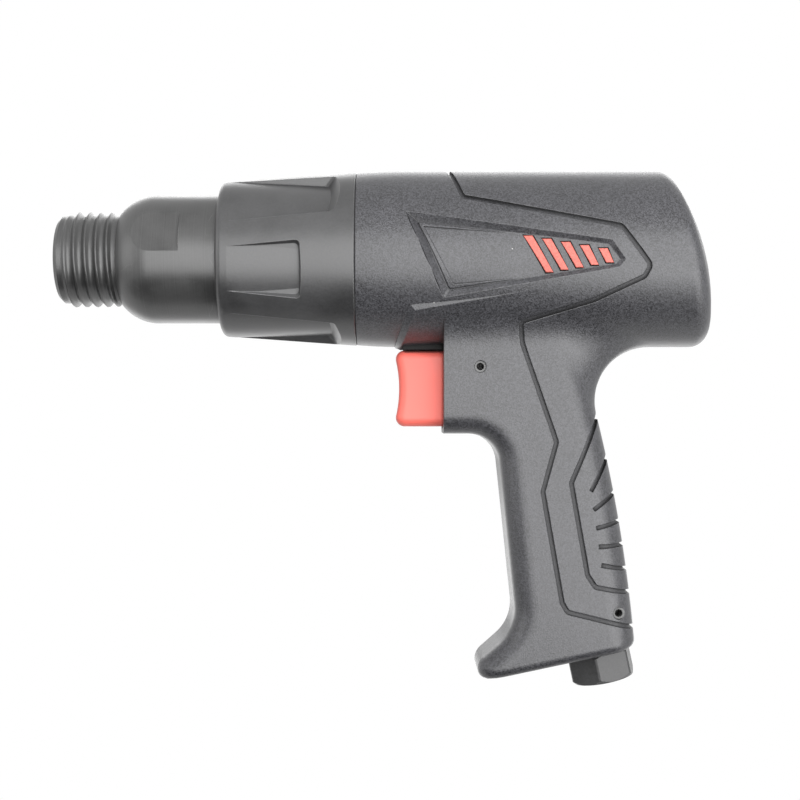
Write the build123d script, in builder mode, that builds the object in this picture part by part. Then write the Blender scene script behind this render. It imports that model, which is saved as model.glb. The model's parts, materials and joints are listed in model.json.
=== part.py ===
from build123d import *
import math
import os

# Air hammer with a pistol grip, in millimetres, one solid for each piece.
# The origin is the centre of the muzzle. The barrel axis is X, with the muzzle facing -X
# and the housing towards +X. Z is up, the grip hangs down, and Y = 0 is the mid-plane.

os.makedirs("parts", exist_ok=True)

# Fits, all on the radius or on one side
RUNNING_FIT = 0.03
PRESS_FIT = 0.02
SLIDE_FIT = 0.25

# Barrel: nose, striking bore and the steps of its outside, from the tail forwards
SHANK_R = 5.15
SHANK_LENGTH = 27.0
MOUTH_BREAK = 0.5
BORE_R = 9.5
BORE_CONE = 3.0
BARREL_LENGTH = 148.5
TAIL_WALL = 5.5
SPIGOT_STEP = 2.0
PORTED_STEP = 1.5
LAND_STEP = 2.1
PILOT_R = 14.1
PILOT_LENGTH = 3.8
THREAD_R = 15.75
THREAD_END = 19.1
NECK_R = 14.0
SHOULDER_STEP = 5.6
SHOULDER_X = 20.0
OGIVE_R = 14.3
EDGE_BREAK = 1.2
PORT_R = 2.0
PORT_COUNT = 6
FLAT_START = 23.0
FLAT_LENGTH = 17.6
FLAT_DEPTH = 1.2
FLAT_ANGLE = -22.0

# Front sleeve with its six flutes
SLEEVE_FRONT = 52.4
SLEEVE_LENGTH = 43.3
SLEEVE_WALL = 3.75
SLEEVE_TAPER = 3.0
SLEEVE_NOSE_R = 2.0
SLEEVE_FLANGE = 7.2
SLEEVE_LIP = 3.2
SLEEVE_LIP_SLOPE = 1.5
MOUTH_GAP = 0.5
PLENUM_DEPTH = 1.5
FLUTE_FRONT_RISE = 0.35
FLUTE_REAR_DROP = 0.55
FLUTE_WALL_ANGLE = 45
SHORT_FLUTE_ANGLE = 12.0
SHORT_FLUTE_START = 2.0
SHORT_FLUTE_LENGTH = 24.1
SHORT_FLUTE_END_ANGLE = 15
SHORT_FLUTE_SPAN_FRONT = 30.0
SHORT_FLUTE_SPAN_REAR = 37.0
LONG_FLUTE_START = 2.0
LONG_FLUTE_LENGTH = 31.8
LONG_FLUTE_END_ANGLE = 45
LONG_FLUTE_SPAN_FRONT = 51.0
LONG_FLUTE_SPAN_REAR = 32.0
FLUTE_CORNER_R = 1.6
FLUTE_PAIRS = 3

# Housing: tube, rounded rear end and the handle below it
HOUSING_STEP = 0.45
HOUSING_SETBACK = 0.15
SEAM_BREAK = 0.3
REAR_WALL = 39.6
HOUSING_FLARE = 13.8
REAR_DOME_R = 71.0
REAR_DOME_DROP = 15.2
REAR_EDGE_R = 5.0
HANDLE_HALF_WIDTH = 16.2
HANDLE_FRONT_ROUND = 7.0
HANDLE_REAR_ROUND = 9.0
HANDLE_BLEND_R = 18.5
FOOT_EDGE_R = 2.9
FOOT_TILT = 12.0
FINGER_R = 10.0
FOOT_HOLLOW_R = 14.0
FOOT_TIP_R = 5.0
HANDLE_SPARE = 13.0
CUT_SPARE = 1.0
JOINT_MIN_RUN = 0.01

# Handle outline: places behind the housing front, the foot's drop and heights above the foot
BLOCK_FRONT = 27.8
BLOCK_FLOOR = 2.2
GRIP_FRONT_TOP = 44.7
GRIP_FRONT_LOW = 51.1
GRIP_FRONT_HEIGHT = 16.8
TOE_FRONT = 38.7
TOE_HEIGHT = 5.9
GRIP_REAR_TOP = 70.7
GRIP_REAR_MID = 83.4
GRIP_REAR_LOW = 89.7
FOOT_DROP = 106.3

# Head insert that the barrel screws into, and the valve stack behind the barrel
INSERT_LENGTH = 27.0
INSERT_WALL = 4.5
INSERT_FLANGE_STEP = 1.5
INSERT_FLANGE = 3.0
BARREL_SEAL_OFFSET = 4.0
SEAL_CORD_R = 1.18
SEAL_GROOVE_SIDE = 0.3
GASKET_MARGIN = 1.5
GASKET_THICK = 1.0
PISTON_LENGTH = 45.0
PISTON_REST_GAP = 0.1
PISTON_HOLLOW_R = 4.5
PISTON_HOLLOW_DEPTH = 14.0
VALVE_FRONT_THICK = 6.0
VALVE_REAR_THICK = 10.0
VALVE_CHAMBER_DEPTH = 2.2
VALVE_DISC_SIDE = 0.5
VALVE_DISC_THICK = 1.2
VALVE_DISC_GAP = 0.05
VALVE_WAIST_DEPTH = 3.0
VALVE_WAIST_START = 4.0
VALVE_WAIST_LENGTH = 4.0
VALVE_PORT_R = 1.5
VALVE_PORT_RING_R = 6.0
VALVE_PORT_COUNT = 6
VALVE_CENTRE_R = 3.0
DOWEL_R = 1.25
DOWEL_COUNT = 2
DOWEL_DEPTH = 5.0
BUFFER_THICK = 5.0
BUFFER_IN_R = 8.0

# Trigger, its pin and the throttle valve behind it
TRIGGER_GAP = 1.3
TRIGGER_HEIGHT = 24.4
TRIGGER_HALF_WIDTH = 8.0
TRIGGER_REACH = 16.0
TRIGGER_HOLLOW = 1.9
TRIGGER_TAIL = 17.0
TRIGGER_TRAVEL = 5.0
TRIGGER_EDGE_R = 2.8
TRIGGER_CORNER_R = 3.0
TRIGGER_STOP_GAP = 0.5
PIN_R = 1.9
PIN_SLOT_FIT = 0.1
TRIGGER_PIN_X = 39.2
TRIGGER_PIN_DROP = 6.7
PIN_HOLLOW_R = 1.2
PIN_HOLLOW_DEPTH = 8.0
PIN_SINK = 0.6
INLET_PIN_SINK = 1.6
THROTTLE_DROP = 14.2
BUSH_R = 6.0
BUSH_LENGTH = 9.5
BUSH_GUIDE = 4.2
BUSH_PORT_R = 1.6
BUSH_SEAL_CORD_R = 0.9
BUSH_SEAL_OFFSET = 1.0
BUSH_SEAT_R = 3.4
STEM_R = 1.9
STEM_HEAD_R = 4.6
STEM_HEAD_THICK = 2.0
STEM_SOCKET = 4.0
STEM_SEAL_THICK = 0.6
STEM_SEAL_GAP = 0.03
STEM_PILOT = 1.5
CHAMBER_LENGTH = 13.0
SPRING_WIRE = 0.9
SPRING_R = 3.4
SPRING_TURNS = 5
SPRING_END_GAP = 0.05
AIR_RISER_R = 3.0

# Air inlet in the foot of the grip
INLET_FROM_TOE = 40.4
INLET_HEX_FLATS = 19.0
INLET_HEX_HEIGHT = 9.6
INLET_HEX_TWIST = 17.0
INLET_HEX_TURNED_R = 10.75
INLET_HEX_CHAMFER = 1.2
INLET_SHANK_R = 8.5
INLET_SHANK_LENGTH = 33.0
INLET_THREAD_R = 5.7
INLET_THREAD_DEPTH = 15.0
INLET_FLOW_R = 4.0
INLET_SEAL_HEIGHT = 26.0
INLET_PIN_HEIGHT = 12.4
INLET_PIN_SIDE = 7.3
HANDLE_AIR_R = 5.0
SCREEN_R = 4.8
SCREEN_THICK = 0.8
SCREEN_HOLE_R = 0.45
SCREEN_PITCH = 1.5
SCREEN_ROWS = 5

# Grooves, side panel, bars and saddle on the housing
GROOVE_WIDTH = 1.5
GROOVE_DEPTH = 1.0
GROOVE_BEND_R = 2.0
SLOT_WIDTH = 1.4
SLOT_ALONG = 73.9
SLOT_DROP = 45.9
SLOT_ALONG_STEP = 0.8
SLOT_DROP_STEP = 5.8
SLOT_ANGLES = (61, 35, 14, 3, -10)
SLOT_REACH = 15.0
PANEL_DEPTH = 2.45
PANEL_FLOOR_RISE = 2.0
PANEL_WALL_STEPS = 3
PANEL_WALL_SPARE = 0.5
BAR_WIDTH = 2.7
BAR_LOW_WIDTH = 2.16
BAR_DEPTH = 0.4
BAR_COUNT = 5
BAR_TOP_START = 53.0
BAR_TOP_PITCH = 5.73
BAR_TOP_HEIGHT = 5.1
BAR_TOP_FALL = 1.0
BAR_LOW_START = 60.0
BAR_LOW_PITCH = 4.58
BAR_LOW_HEIGHT = -6.7
BAR_LOW_RISE = 0.75
SADDLE_RISE = 1.1
SADDLE_BEVEL_ALONG = 2.2
SADDLE_BEVEL_DEEP = 0.9
SADDLE_START = 12.4
SADDLE_LENGTH = 44.0
SADDLE_SHOULDER = 4.6
SADDLE_FRONT_HEIGHT = -16.3
SADDLE_REAR_HEIGHT = -9.4
SADDLE_JOINT_HEIGHT = -17.8
SHELF_START = 15.0
SHELF_HEIGHT = 4.0

# Radii worked out from the bore outwards
tail_r = BORE_R + TAIL_WALL
spigot_r = tail_r + SPIGOT_STEP
ported_r = spigot_r + PORTED_STEP
barrel_r = ported_r + LAND_STEP
shoulder_r = barrel_r - SHOULDER_STEP
mouth_r = barrel_r + MOUTH_GAP
plenum_r = mouth_r + PLENUM_DEPTH
sleeve_front_r = mouth_r + SLEEVE_WALL
sleeve_rear_r = sleeve_front_r + SLEEVE_TAPER
housing_r = sleeve_rear_r + HOUSING_STEP
housing_front_r = sleeve_rear_r - HOUSING_SETBACK
flute_front_r = sleeve_front_r + FLUTE_FRONT_RISE
flute_rear_r = sleeve_front_r - FLUTE_REAR_DROP
insert_r = spigot_r + INSERT_WALL
insert_flange_r = insert_r + INSERT_FLANGE_STEP
gasket_in_r = spigot_r + GASKET_MARGIN
dowel_ring_r = BORE_R + TAIL_WALL / 2
valve_waist_r = tail_r - VALVE_WAIST_DEPTH

# Places worked out from the sizes above
seam_x = SLEEVE_FRONT + SLEEVE_LENGTH
clamp_x = seam_x - SLEEVE_FLANGE
land_end = SLEEVE_FRONT + SLEEVE_LIP + SLEEVE_LIP_SLOPE
ogive_end = SHOULDER_X + math.sqrt(OGIVE_R**2 - (OGIVE_R - barrel_r + shoulder_r) ** 2)
insert_end = seam_x + INSERT_LENGTH
tail_bore_r = tail_r + RUNNING_FIT
valve_mid = BARREL_LENGTH + VALVE_FRONT_THICK
valve_end = valve_mid + VALVE_REAR_THICK
bore_floor = valve_end + BUFFER_THICK
rear_x = bore_floor + REAR_WALL
housing_length = rear_x - seam_x
saddle_end = SADDLE_START + SADDLE_LENGTH
block_drop = TRIGGER_GAP + TRIGGER_HEIGHT + BLOCK_FLOOR
grip_front_drop = FOOT_DROP - GRIP_FRONT_HEIGHT
toe_drop = FOOT_DROP - TOE_HEIGHT
block_x = seam_x + BLOCK_FRONT
throttle_z = -housing_r - THROTTLE_DROP
trigger_top = -housing_r - TRIGGER_GAP
trigger_base = trigger_top - TRIGGER_HEIGHT
trigger_mid = (trigger_top + trigger_base) / 2
trigger_front = block_x - TRIGGER_REACH
trigger_end = block_x + TRIGGER_TAIL
pocket_end = trigger_end + TRIGGER_TRAVEL + TRIGGER_STOP_GAP
bush_end = pocket_end + BUSH_LENGTH
bush_port_x = (pocket_end + BUSH_GUIDE + bush_end) / 2
chamber_end = bush_end + CHAMBER_LENGTH
stem_head_x = bush_end + STEM_SEAL_GAP + STEM_SEAL_THICK
spring_start = stem_head_x + STEM_HEAD_THICK
throttle_axis = Axis((0, 0, throttle_z), (1, 0, 0))


def below(along, drop):
    """A point of the side view, measured from the front of the housing and the tube's underside."""
    return (seam_x + along, -housing_r - drop)


def beside(along, height):
    """A point of the side view, measured from the front of the housing and the barrel axis."""
    return (seam_x + along, height)


foot_front = below(TOE_FRONT, FOOT_DROP)
tilt = math.radians(FOOT_TILT)
foot_across = (math.cos(tilt), 0, math.sin(tilt))
foot_up = (-math.sin(tilt), 0, math.cos(tilt))
foot_plane = Plane(origin=(foot_front[0], 0, foot_front[1]), x_dir=foot_across, z_dir=foot_up)
inlet_origin = foot_plane.from_local_coords((INLET_FROM_TOE, 0, 0))
inlet_plane = Plane(origin=inlet_origin, x_dir=foot_across, z_dir=foot_up)
inlet_pin_point = inlet_plane.from_local_coords((INLET_PIN_SIDE, 0, INLET_PIN_HEIGHT))
inlet_pin_at = (inlet_pin_point.X, inlet_pin_point.Z)
trigger_pin_at = below(TRIGGER_PIN_X, TRIGGER_PIN_DROP)


def radial_plane(angle, distance, x):
    """A plane facing away from the barrel axis. The angle runs from -Y towards -Z."""
    turn = math.radians(angle)
    outward = (0, -math.cos(turn), -math.sin(turn))
    origin = (x, outward[1] * distance, outward[2] * distance)
    return Plane(origin=origin, x_dir=(1, 0, 0), z_dir=outward)


def ring(x, length, inner_r, outer_r, axis=Axis.X, height=0.0):
    """A plain ring along the barrel axis, or along a parallel axis at another height."""
    with BuildPart() as body:
        with BuildSketch(Plane.XZ):
            with Locations((x + length / 2, height + (inner_r + outer_r) / 2)):
                Rectangle(length, outer_r - inner_r)
        revolve(axis=axis)
    return body.part


def hollow_pin(at, half_length):
    """A pin across the handle, hollowed from both of its ends."""
    with BuildPart() as body:
        with BuildSketch(Plane.XZ):
            with Locations(at):
                Circle(PIN_R)
        extrude(amount=half_length, both=True)
        for end in faces().filter_by(Axis.Y):
            with BuildSketch(Plane(end)):
                Circle(PIN_HOLLOW_R)
            extrude(amount=-PIN_HOLLOW_DEPTH, mode=Mode.SUBTRACT)
    return body.part


def finish_piece(builder, name):
    """Labels a finished piece and writes it to its own file."""
    builder.part.label = name
    export_step(builder.part, f"parts/{name}.step")


def flute_wedge(angle, start, length, span_front, span_rear, end_angle):
    """The wedge that cuts one flute, widening outwards from below the flute's floor."""
    front_half = flute_front_r * math.sin(math.radians(span_front / 2))
    rear_half = flute_front_r * math.sin(math.radians(span_rear / 2))
    base_r = flute_front_r * math.cos(math.radians(max(span_front, span_rear) / 2))
    height = housing_r - base_r + CUT_SPARE
    base = radial_plane(angle, base_r, SLEEVE_FRONT + start)
    widening = (rear_half - front_half) / length
    with BuildPart() as body:
        with BuildSketch(base):
            with BuildLine():
                Polyline(
                    (0, -front_half),
                    (2 * length, -front_half - 2 * length * widening),
                    (2 * length, front_half + 2 * length * widening),
                    (0, front_half),
                    close=True,
                )
            make_face()
        extrude(amount=height, taper=-FLUTE_WALL_ANGLE)
        with BuildSketch(base):
            Rectangle(2 * length, 4 * housing_r)
        extrude(amount=height, taper=-end_angle, mode=Mode.INTERSECT)
        corners = edges().filter_by(
            lambda e: base.to_local_coords(e.center()).X > length / 2
            and math.isclose(base.to_local_coords(e.center()).Z, height / 2, abs_tol=0.01)
        )
        fillet(corners, FLUTE_CORNER_R)
    return body.part


def handle_form(inset):
    """The handle with its rounded edges and slanted foot, every face moved inwards by the inset."""
    low = FOOT_DROP + HANDLE_SPARE
    half_width = HANDLE_HALF_WIDTH - inset
    with BuildPart() as body:
        with BuildSketch(Plane.XZ):
            with BuildLine():
                front = FilletPolyline(
                    below(BLOCK_FRONT - HANDLE_SPARE, -HANDLE_SPARE),
                    below(BLOCK_FRONT - HANDLE_SPARE, block_drop),
                    below(GRIP_FRONT_TOP, block_drop),
                    below(GRIP_FRONT_LOW, grip_front_drop),
                    below(TOE_FRONT, toe_drop),
                    below(TOE_FRONT, low),
                    radius=[0.0, FINGER_R, FOOT_HOLLOW_R, FOOT_TIP_R],
                )
                rear = ThreePointArc(
                    below(GRIP_REAR_TOP, 0),
                    below(GRIP_REAR_MID, FOOT_DROP / 2),
                    below(GRIP_REAR_LOW, FOOT_DROP),
                )
                rise = rear % 0
                rear_top = below(GRIP_REAR_TOP + HANDLE_SPARE * rise.X / rise.Y, -HANDLE_SPARE)
                Polyline(front @ 1, rear @ 1)
                Polyline(rear @ 0, rear_top, front @ 0)
            make_face()
            if inset:
                offset(amount=-inset, kind=Kind.INTERSECTION)
        extrude(amount=half_width, both=True)
        rear_line = below((GRIP_FRONT_LOW + GRIP_REAR_TOP) / 2, 0)[0]
        foot_z = below(0, FOOT_DROP)[1]
        rear_edges = faces().filter_by(Axis.Y).edges().filter_by(
            lambda e: e.center().X > rear_line and e.center().Z > foot_z
        )
        fillet(rear_edges, HANDLE_REAR_ROUND - inset)
        flanks = edges().filter_by(lambda e: math.isclose(abs(e.center().Y), half_width, abs_tol=1e-6))
        lowest = below(0, low - CUT_SPARE)[1]
        highest = below(0, block_drop / 2)[1]
        front_edges = flanks.filter_by(
            lambda e: lowest < e.center().Z < highest and e.center().X < rear_line
        )
        fillet(front_edges.filter_by(lambda e: e.length < 2 * low), HANDLE_FRONT_ROUND - inset)
        split(bisect_by=foot_plane.offset(inset), keep=Keep.TOP)
        sole = faces().sort_by(Axis(foot_plane.origin, foot_plane.z_dir))[0]
        fillet(sole.edges(), FOOT_EDGE_R - inset)
    return body.part


def saddle_turning(inset):
    """A turned body that swells forwards from the tube, as the outside of the saddle does."""
    with BuildPart() as body:
        with BuildSketch(Plane.XZ):
            with BuildLine():
                swell = TangentArc(
                    beside(saddle_end, housing_r - inset),
                    beside(SADDLE_START, housing_r + SADDLE_RISE - inset),
                    tangent=(-1, 0),
                )
                Polyline(swell @ 1, beside(SADDLE_START, 0), beside(saddle_end, 0), swell @ 0)
            make_face()
        revolve(axis=Axis.X)
    return body.part


def saddle_joint(start, inset):
    """The underside of the saddle that the handle blends into, from a start place rearwards."""
    with BuildPart() as body:
        add(saddle_turning(inset))
        split(bisect_by=Plane.XY.offset(SADDLE_JOINT_HEIGHT), keep=Keep.BOTTOM)
        split(bisect_by=Plane.YZ.offset(start), keep=Keep.TOP)
    return body.part


def outer_form(inset):
    """The housing's outside: tube, domed rear end, handle and the blend between them."""
    tube_r = housing_r - inset
    tube_start = block_x - HANDLE_SPARE + inset
    dome_x = rear_x - REAR_DOME_R
    with BuildPart() as body:
        with BuildSketch(Plane.YZ.offset(dome_x)):
            Circle(tube_r)
        extrude(amount=REAR_DOME_R)
        with Locations((dome_x, 0, -REAR_DOME_DROP)):
            Sphere(REAR_DOME_R - inset, mode=Mode.INTERSECT)
        rim = faces().filter_by(GeomType.SPHERE).edges().filter_by(lambda e: e.length > tube_r)
        fillet(rim, REAR_EDGE_R)
        with BuildSketch(Plane.YZ.offset(tube_start)):
            Circle(tube_r)
        extrude(amount=dome_x - tube_start)
        add(saddle_joint(tube_start, inset))
        add(handle_form(inset))
        joint_end = below(GRIP_REAR_LOW, 0)[0]
        joint_low = below(0, BLOCK_FLOOR + SADDLE_RISE)[1]
        joint = edges().filter_by(
            lambda e: joint_low < e.center().Z < SADDLE_JOINT_HEIGHT - CUT_SPARE
            and tube_start + CUT_SPARE < e.center().X < joint_end
            and e.bounding_box().size.X > JOINT_MIN_RUN
        )
        fillet(joint, HANDLE_BLEND_R + inset)
        split(bisect_by=Plane.YZ.offset(block_x), keep=Keep.TOP)
        with BuildSketch(Plane.XZ):
            with BuildLine():
                flare = TangentArc(
                    beside(HOUSING_FLARE, tube_r),
                    beside(SEAM_BREAK, housing_front_r - inset),
                    tangent=(-1, 0),
                )
                Polyline(
                    flare @ 1,
                    beside(0, housing_front_r - SEAM_BREAK - inset),
                    beside(0, 0),
                    beside(BLOCK_FRONT, 0),
                    beside(BLOCK_FRONT, tube_r),
                    flare @ 0,
                )
            make_face()
        revolve(axis=Axis.X)
    return body.part


def side_band(points, width):
    """A strip of the side view, given a width and carried through the whole housing."""
    with BuildPart() as band:
        with BuildSketch(Plane.XZ):
            with BuildLine():
                FilletPolyline(*points, radius=GROOVE_BEND_R)
            trace(line_width=width)
        extrude(amount=2 * housing_r, both=True)
    return band.part


def panel_floor_r(x):
    """The radius of the panel's floor, which rises slowly towards the rear."""
    return housing_r - PANEL_DEPTH + PANEL_FLOOR_RISE * (x - seam_x) / housing_length


def panel_core(depth):
    """What is left inside the panel's floor, or inside a cut of some depth below it."""
    with BuildPart() as core:
        with BuildSketch(Plane.XZ):
            with BuildLine():
                Polyline(
                    (seam_x, 0),
                    (seam_x, panel_floor_r(seam_x) - depth),
                    (rear_x, panel_floor_r(rear_x) - depth),
                    (rear_x, 0),
                    close=True,
                )
            make_face()
        revolve(axis=Axis.X)
    return core.part


def wall_section(rim, foot):
    """The triangle cut away above the panel's sloped wall, between its rim and its foot."""
    rim_point = Vector(rim[0], -math.sqrt(housing_r**2 - rim[1] ** 2), rim[1])
    foot_point = Vector(foot[0], -math.sqrt(panel_floor_r(foot[0]) ** 2 - foot[1] ** 2), foot[1])
    reach = (rim_point - foot_point) * PANEL_WALL_SPARE
    high = rim_point + reach
    low = foot_point - reach
    outside = Vector(low.X, -2 * housing_r, low.Z)
    return Wire.make_polygon([high, low, outside])


def between(first, second, part):
    """A point on the way from one point of the side view to another."""
    return tuple(a + (b - a) * part for a, b in zip(first, second))


# Housing: the moulded form, with its saddle, grooves, panel and inner bores
arrow_line = [
    beside(28.9, housing_r + CUT_SPARE),
    beside(33.4, 17.4),
    beside(81.8, 7.9),
    beside(90.6, -4.3),
    beside(88.8, -7.7),
    beside(73.7, -14.7),
    beside(51.6, -21.15),
    below(52.3, -0.7),
    below(63.1, 30.4),
    below(58.8, 46.0),
    below(64.8, 80.8),
    below(66.5, 83.8),
    below(93.0, 90.3),
]
pad_line = [
    below(79.8, 15.1),
    below(67.7, 43.3),
    below(72.8, 72.2),
    below(75.3, 76.0),
    below(92.8, 79.1),
]

with BuildPart() as grooves:
    add(side_band(arrow_line, GROOVE_WIDTH))
    add(side_band(pad_line, GROOVE_WIDTH))
    for index, angle in enumerate(SLOT_ANGLES):
        along = SLOT_ALONG + index * SLOT_ALONG_STEP
        drop = SLOT_DROP + index * SLOT_DROP_STEP
        turn = math.radians(angle)
        with BuildSketch(Plane.XZ):
            with BuildLine():
                Line(
                    below(along, drop),
                    below(along + SLOT_REACH * math.cos(turn), drop - SLOT_REACH * math.sin(turn)),
                )
            trace(line_width=SLOT_WIDTH)
        extrude(amount=2 * housing_r, both=True)
    add(outer_form(GROOVE_DEPTH), mode=Mode.SUBTRACT)

with BuildPart() as saddle:
    with BuildSketch(Plane.XZ):
        with BuildLine():
            Polyline(
                beside(SADDLE_START, -housing_r),
                beside(SADDLE_START + SADDLE_SHOULDER, SADDLE_FRONT_HEIGHT),
                beside(saddle_end, SADDLE_REAR_HEIGHT),
                beside(saddle_end, -2 * housing_r),
                beside(SADDLE_START, -2 * housing_r),
                close=True,
            )
        make_face()
    extrude(amount=2 * housing_r)
    add(saddle_turning(0), mode=Mode.INTERSECT)
    flank = faces().filter_by(GeomType.TORUS)[0]
    last_x = seam_x + saddle_end - CUT_SPARE
    ridge = flank.edges().filter_by(lambda e: e.center().Z > -housing_r and e.center().X < last_x)
    chamfer(ridge, SADDLE_BEVEL_ALONG, SADDLE_BEVEL_DEEP, reference=flank)
    mirror(about=Plane.XZ)

panel_rim = [
    beside(15.7, 12.5),
    beside(78.8, 3.4),
    beside(82.9, -2.5),
    beside(81.1, -4.7),
    beside(27.5, -14.0),
]
panel_foot = [
    beside(18.9, 9.7),
    beside(77.9, 2.3),
    beside(81.6, -2.4),
    beside(80.4, -3.9),
    beside(28.6, -11.9),
]
panel_inside = panel_core(0)
with BuildPart() as panel:
    with BuildSketch(Plane.XZ):
        with BuildLine():
            Polyline(*panel_foot, close=True)
        make_face()
    extrude(amount=2 * housing_r)
    add(panel_inside, mode=Mode.SUBTRACT)
    for index in range(len(panel_rim)):
        sections = []
        for step in range(PANEL_WALL_STEPS + 1):
            part = step / PANEL_WALL_STEPS
            rim = between(panel_rim[index - 1], panel_rim[index], part)
            foot = between(panel_foot[index - 1], panel_foot[index], part)
            sections.append(wall_section(rim, foot))
        for near, far in zip(sections, sections[1:]):
            add(Solid.make_loft([near, far], ruled=True) - panel_inside)
    mirror(about=Plane.XZ)

with BuildPart() as shelf:
    with BuildSketch(Plane.XY.offset(trigger_top + SLIDE_FIT)):
        with Locations((seam_x + (SHELF_START + BLOCK_FRONT) / 2, 0)):
            Rectangle(BLOCK_FRONT - SHELF_START, 2 * TRIGGER_HALF_WIDTH)
    extrude(amount=SHELF_HEIGHT)

with BuildPart() as bars:
    for index in range(BAR_COUNT):
        top = beside(BAR_TOP_START + index * BAR_TOP_PITCH, BAR_TOP_HEIGHT - index * BAR_TOP_FALL)
        low = beside(BAR_LOW_START + index * BAR_LOW_PITCH, BAR_LOW_HEIGHT + index * BAR_LOW_RISE)
        with BuildSketch(Plane.XZ):
            with BuildLine():
                Polyline(
                    (top[0] - BAR_WIDTH / 2, top[1]),
                    (top[0] + BAR_WIDTH / 2, top[1]),
                    (low[0] + BAR_LOW_WIDTH / 2, low[1]),
                    (low[0] - BAR_LOW_WIDTH / 2, low[1]),
                    close=True,
                )
            make_face()
        extrude(amount=2 * housing_r, both=True)
    add(panel_core(BAR_DEPTH), mode=Mode.SUBTRACT)

air_length = (throttle_z - inlet_origin.Z) / math.cos(tilt) - INLET_SHANK_LENGTH
riser_start = Vector(bush_port_x, 0, throttle_z)
riser_end = Vector(valve_mid + VALVE_WAIST_START + VALVE_WAIST_LENGTH / 2, 0, PRESS_FIT - tail_r)
riser = riser_end - riser_start
with BuildPart() as bores:
    with BuildSketch(Plane.XZ):
        with BuildLine():
            Polyline(
                (seam_x, 0),
                (seam_x, insert_flange_r + PRESS_FIT),
                (seam_x + INSERT_FLANGE, insert_flange_r + PRESS_FIT),
                (seam_x + INSERT_FLANGE, insert_r + PRESS_FIT),
                (insert_end, insert_r + PRESS_FIT),
                (insert_end, tail_bore_r),
                (bore_floor, tail_bore_r),
                (bore_floor, 0),
                close=True,
            )
        make_face()
    revolve(axis=Axis.X)
    with BuildSketch(Plane.YZ.offset(block_x - SLIDE_FIT)):
        with Locations((0, trigger_mid)):
            RectangleRounded(
                2 * (TRIGGER_HALF_WIDTH + SLIDE_FIT),
                TRIGGER_HEIGHT + 2 * SLIDE_FIT,
                TRIGGER_CORNER_R + SLIDE_FIT,
            )
    extrude(amount=pocket_end - block_x + SLIDE_FIT)
    with BuildSketch(Plane.YZ.offset(pocket_end)):
        with Locations((0, throttle_z)):
            Circle(BUSH_R + PRESS_FIT)
    extrude(amount=chamber_end - pocket_end)
    with BuildSketch(Plane(origin=riser_start, z_dir=riser)):
        Circle(AIR_RISER_R)
    extrude(amount=riser.length)
    with BuildSketch(inlet_plane.offset(-INLET_HEX_HEIGHT)):
        Circle(INLET_SHANK_R + PRESS_FIT)
    extrude(amount=INLET_HEX_HEIGHT + INLET_SHANK_LENGTH)
    with BuildSketch(inlet_plane.offset(INLET_SHANK_LENGTH)):
        Circle(HANDLE_AIR_R)
    extrude(amount=air_length)
    with BuildSketch(Plane.XZ):
        with Locations(trigger_pin_at, inlet_pin_at):
            Circle(PIN_R + PRESS_FIT)
    extrude(amount=2 * HANDLE_HALF_WIDTH, both=True)

with BuildPart() as housing:
    add(outer_form(0))
    add(panel.part, mode=Mode.SUBTRACT)
    add(bars.part, mode=Mode.SUBTRACT)
    add(saddle.part)
    add(shelf.part)
    add(grooves.part, mode=Mode.SUBTRACT)
    add(bores.part, mode=Mode.SUBTRACT)
finish_piece(housing, "housing")

# Barrel: a turned and bored steel body, with wrench flats on its nose and exhaust ports under the sleeve
seal_groove = 2 * (SEAL_CORD_R + SEAL_GROOVE_SIDE)
seal_floor = tail_bore_r - 2 * SEAL_CORD_R - 2 * PRESS_FIT
seal_start = insert_end + BARREL_SEAL_OFFSET
with BuildPart() as barrel:
    with BuildSketch(Plane.XZ):
        with BuildLine():
            ogive = TangentArc((ogive_end, barrel_r), (SHOULDER_X, shoulder_r), tangent=(-1, 0))
            Polyline(
                ogive @ 1,
                (SHOULDER_X, NECK_R),
                (THREAD_END, NECK_R),
                (THREAD_END, THREAD_R),
                (PILOT_LENGTH + EDGE_BREAK, THREAD_R),
                (PILOT_LENGTH, PILOT_R),
                (EDGE_BREAK, PILOT_R),
                (0, PILOT_R - EDGE_BREAK),
                (0, SHANK_R + MOUTH_BREAK),
                (MOUTH_BREAK, SHANK_R),
                (SHANK_LENGTH, SHANK_R),
                (SHANK_LENGTH + BORE_CONE, BORE_R),
                (BARREL_LENGTH, BORE_R),
                (BARREL_LENGTH, tail_r),
                (seal_start + seal_groove, tail_r),
                (seal_start + seal_groove, seal_floor),
                (seal_start, seal_floor),
                (seal_start, tail_r),
                (insert_end, tail_r),
                (insert_end, spigot_r),
                (clamp_x, spigot_r),
                (clamp_x, ported_r),
                (land_end, ported_r),
                (land_end, barrel_r),
                ogive @ 0,
            )
        make_face()
    revolve(axis=Axis.X)
    for angle in (FLAT_ANGLE, FLAT_ANGLE + 180):
        with BuildSketch(radial_plane(angle, barrel_r - FLAT_DEPTH, FLAT_START + FLAT_LENGTH / 2)):
            Rectangle(FLAT_LENGTH, 2 * barrel_r)
        extrude(amount=barrel_r, mode=Mode.SUBTRACT)
    for index in range(PORT_COUNT):
        with BuildSketch(radial_plane(index * 360 / PORT_COUNT, 0, (land_end + clamp_x) / 2)):
            Circle(PORT_R)
        extrude(amount=barrel_r, mode=Mode.SUBTRACT)
    with BuildSketch(Plane.YZ.offset(BARREL_LENGTH)):
        with PolarLocations(dowel_ring_r, DOWEL_COUNT):
            Circle(DOWEL_R + PRESS_FIT)
    extrude(amount=-DOWEL_DEPTH, mode=Mode.SUBTRACT)
finish_piece(barrel, "barrel")

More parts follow.
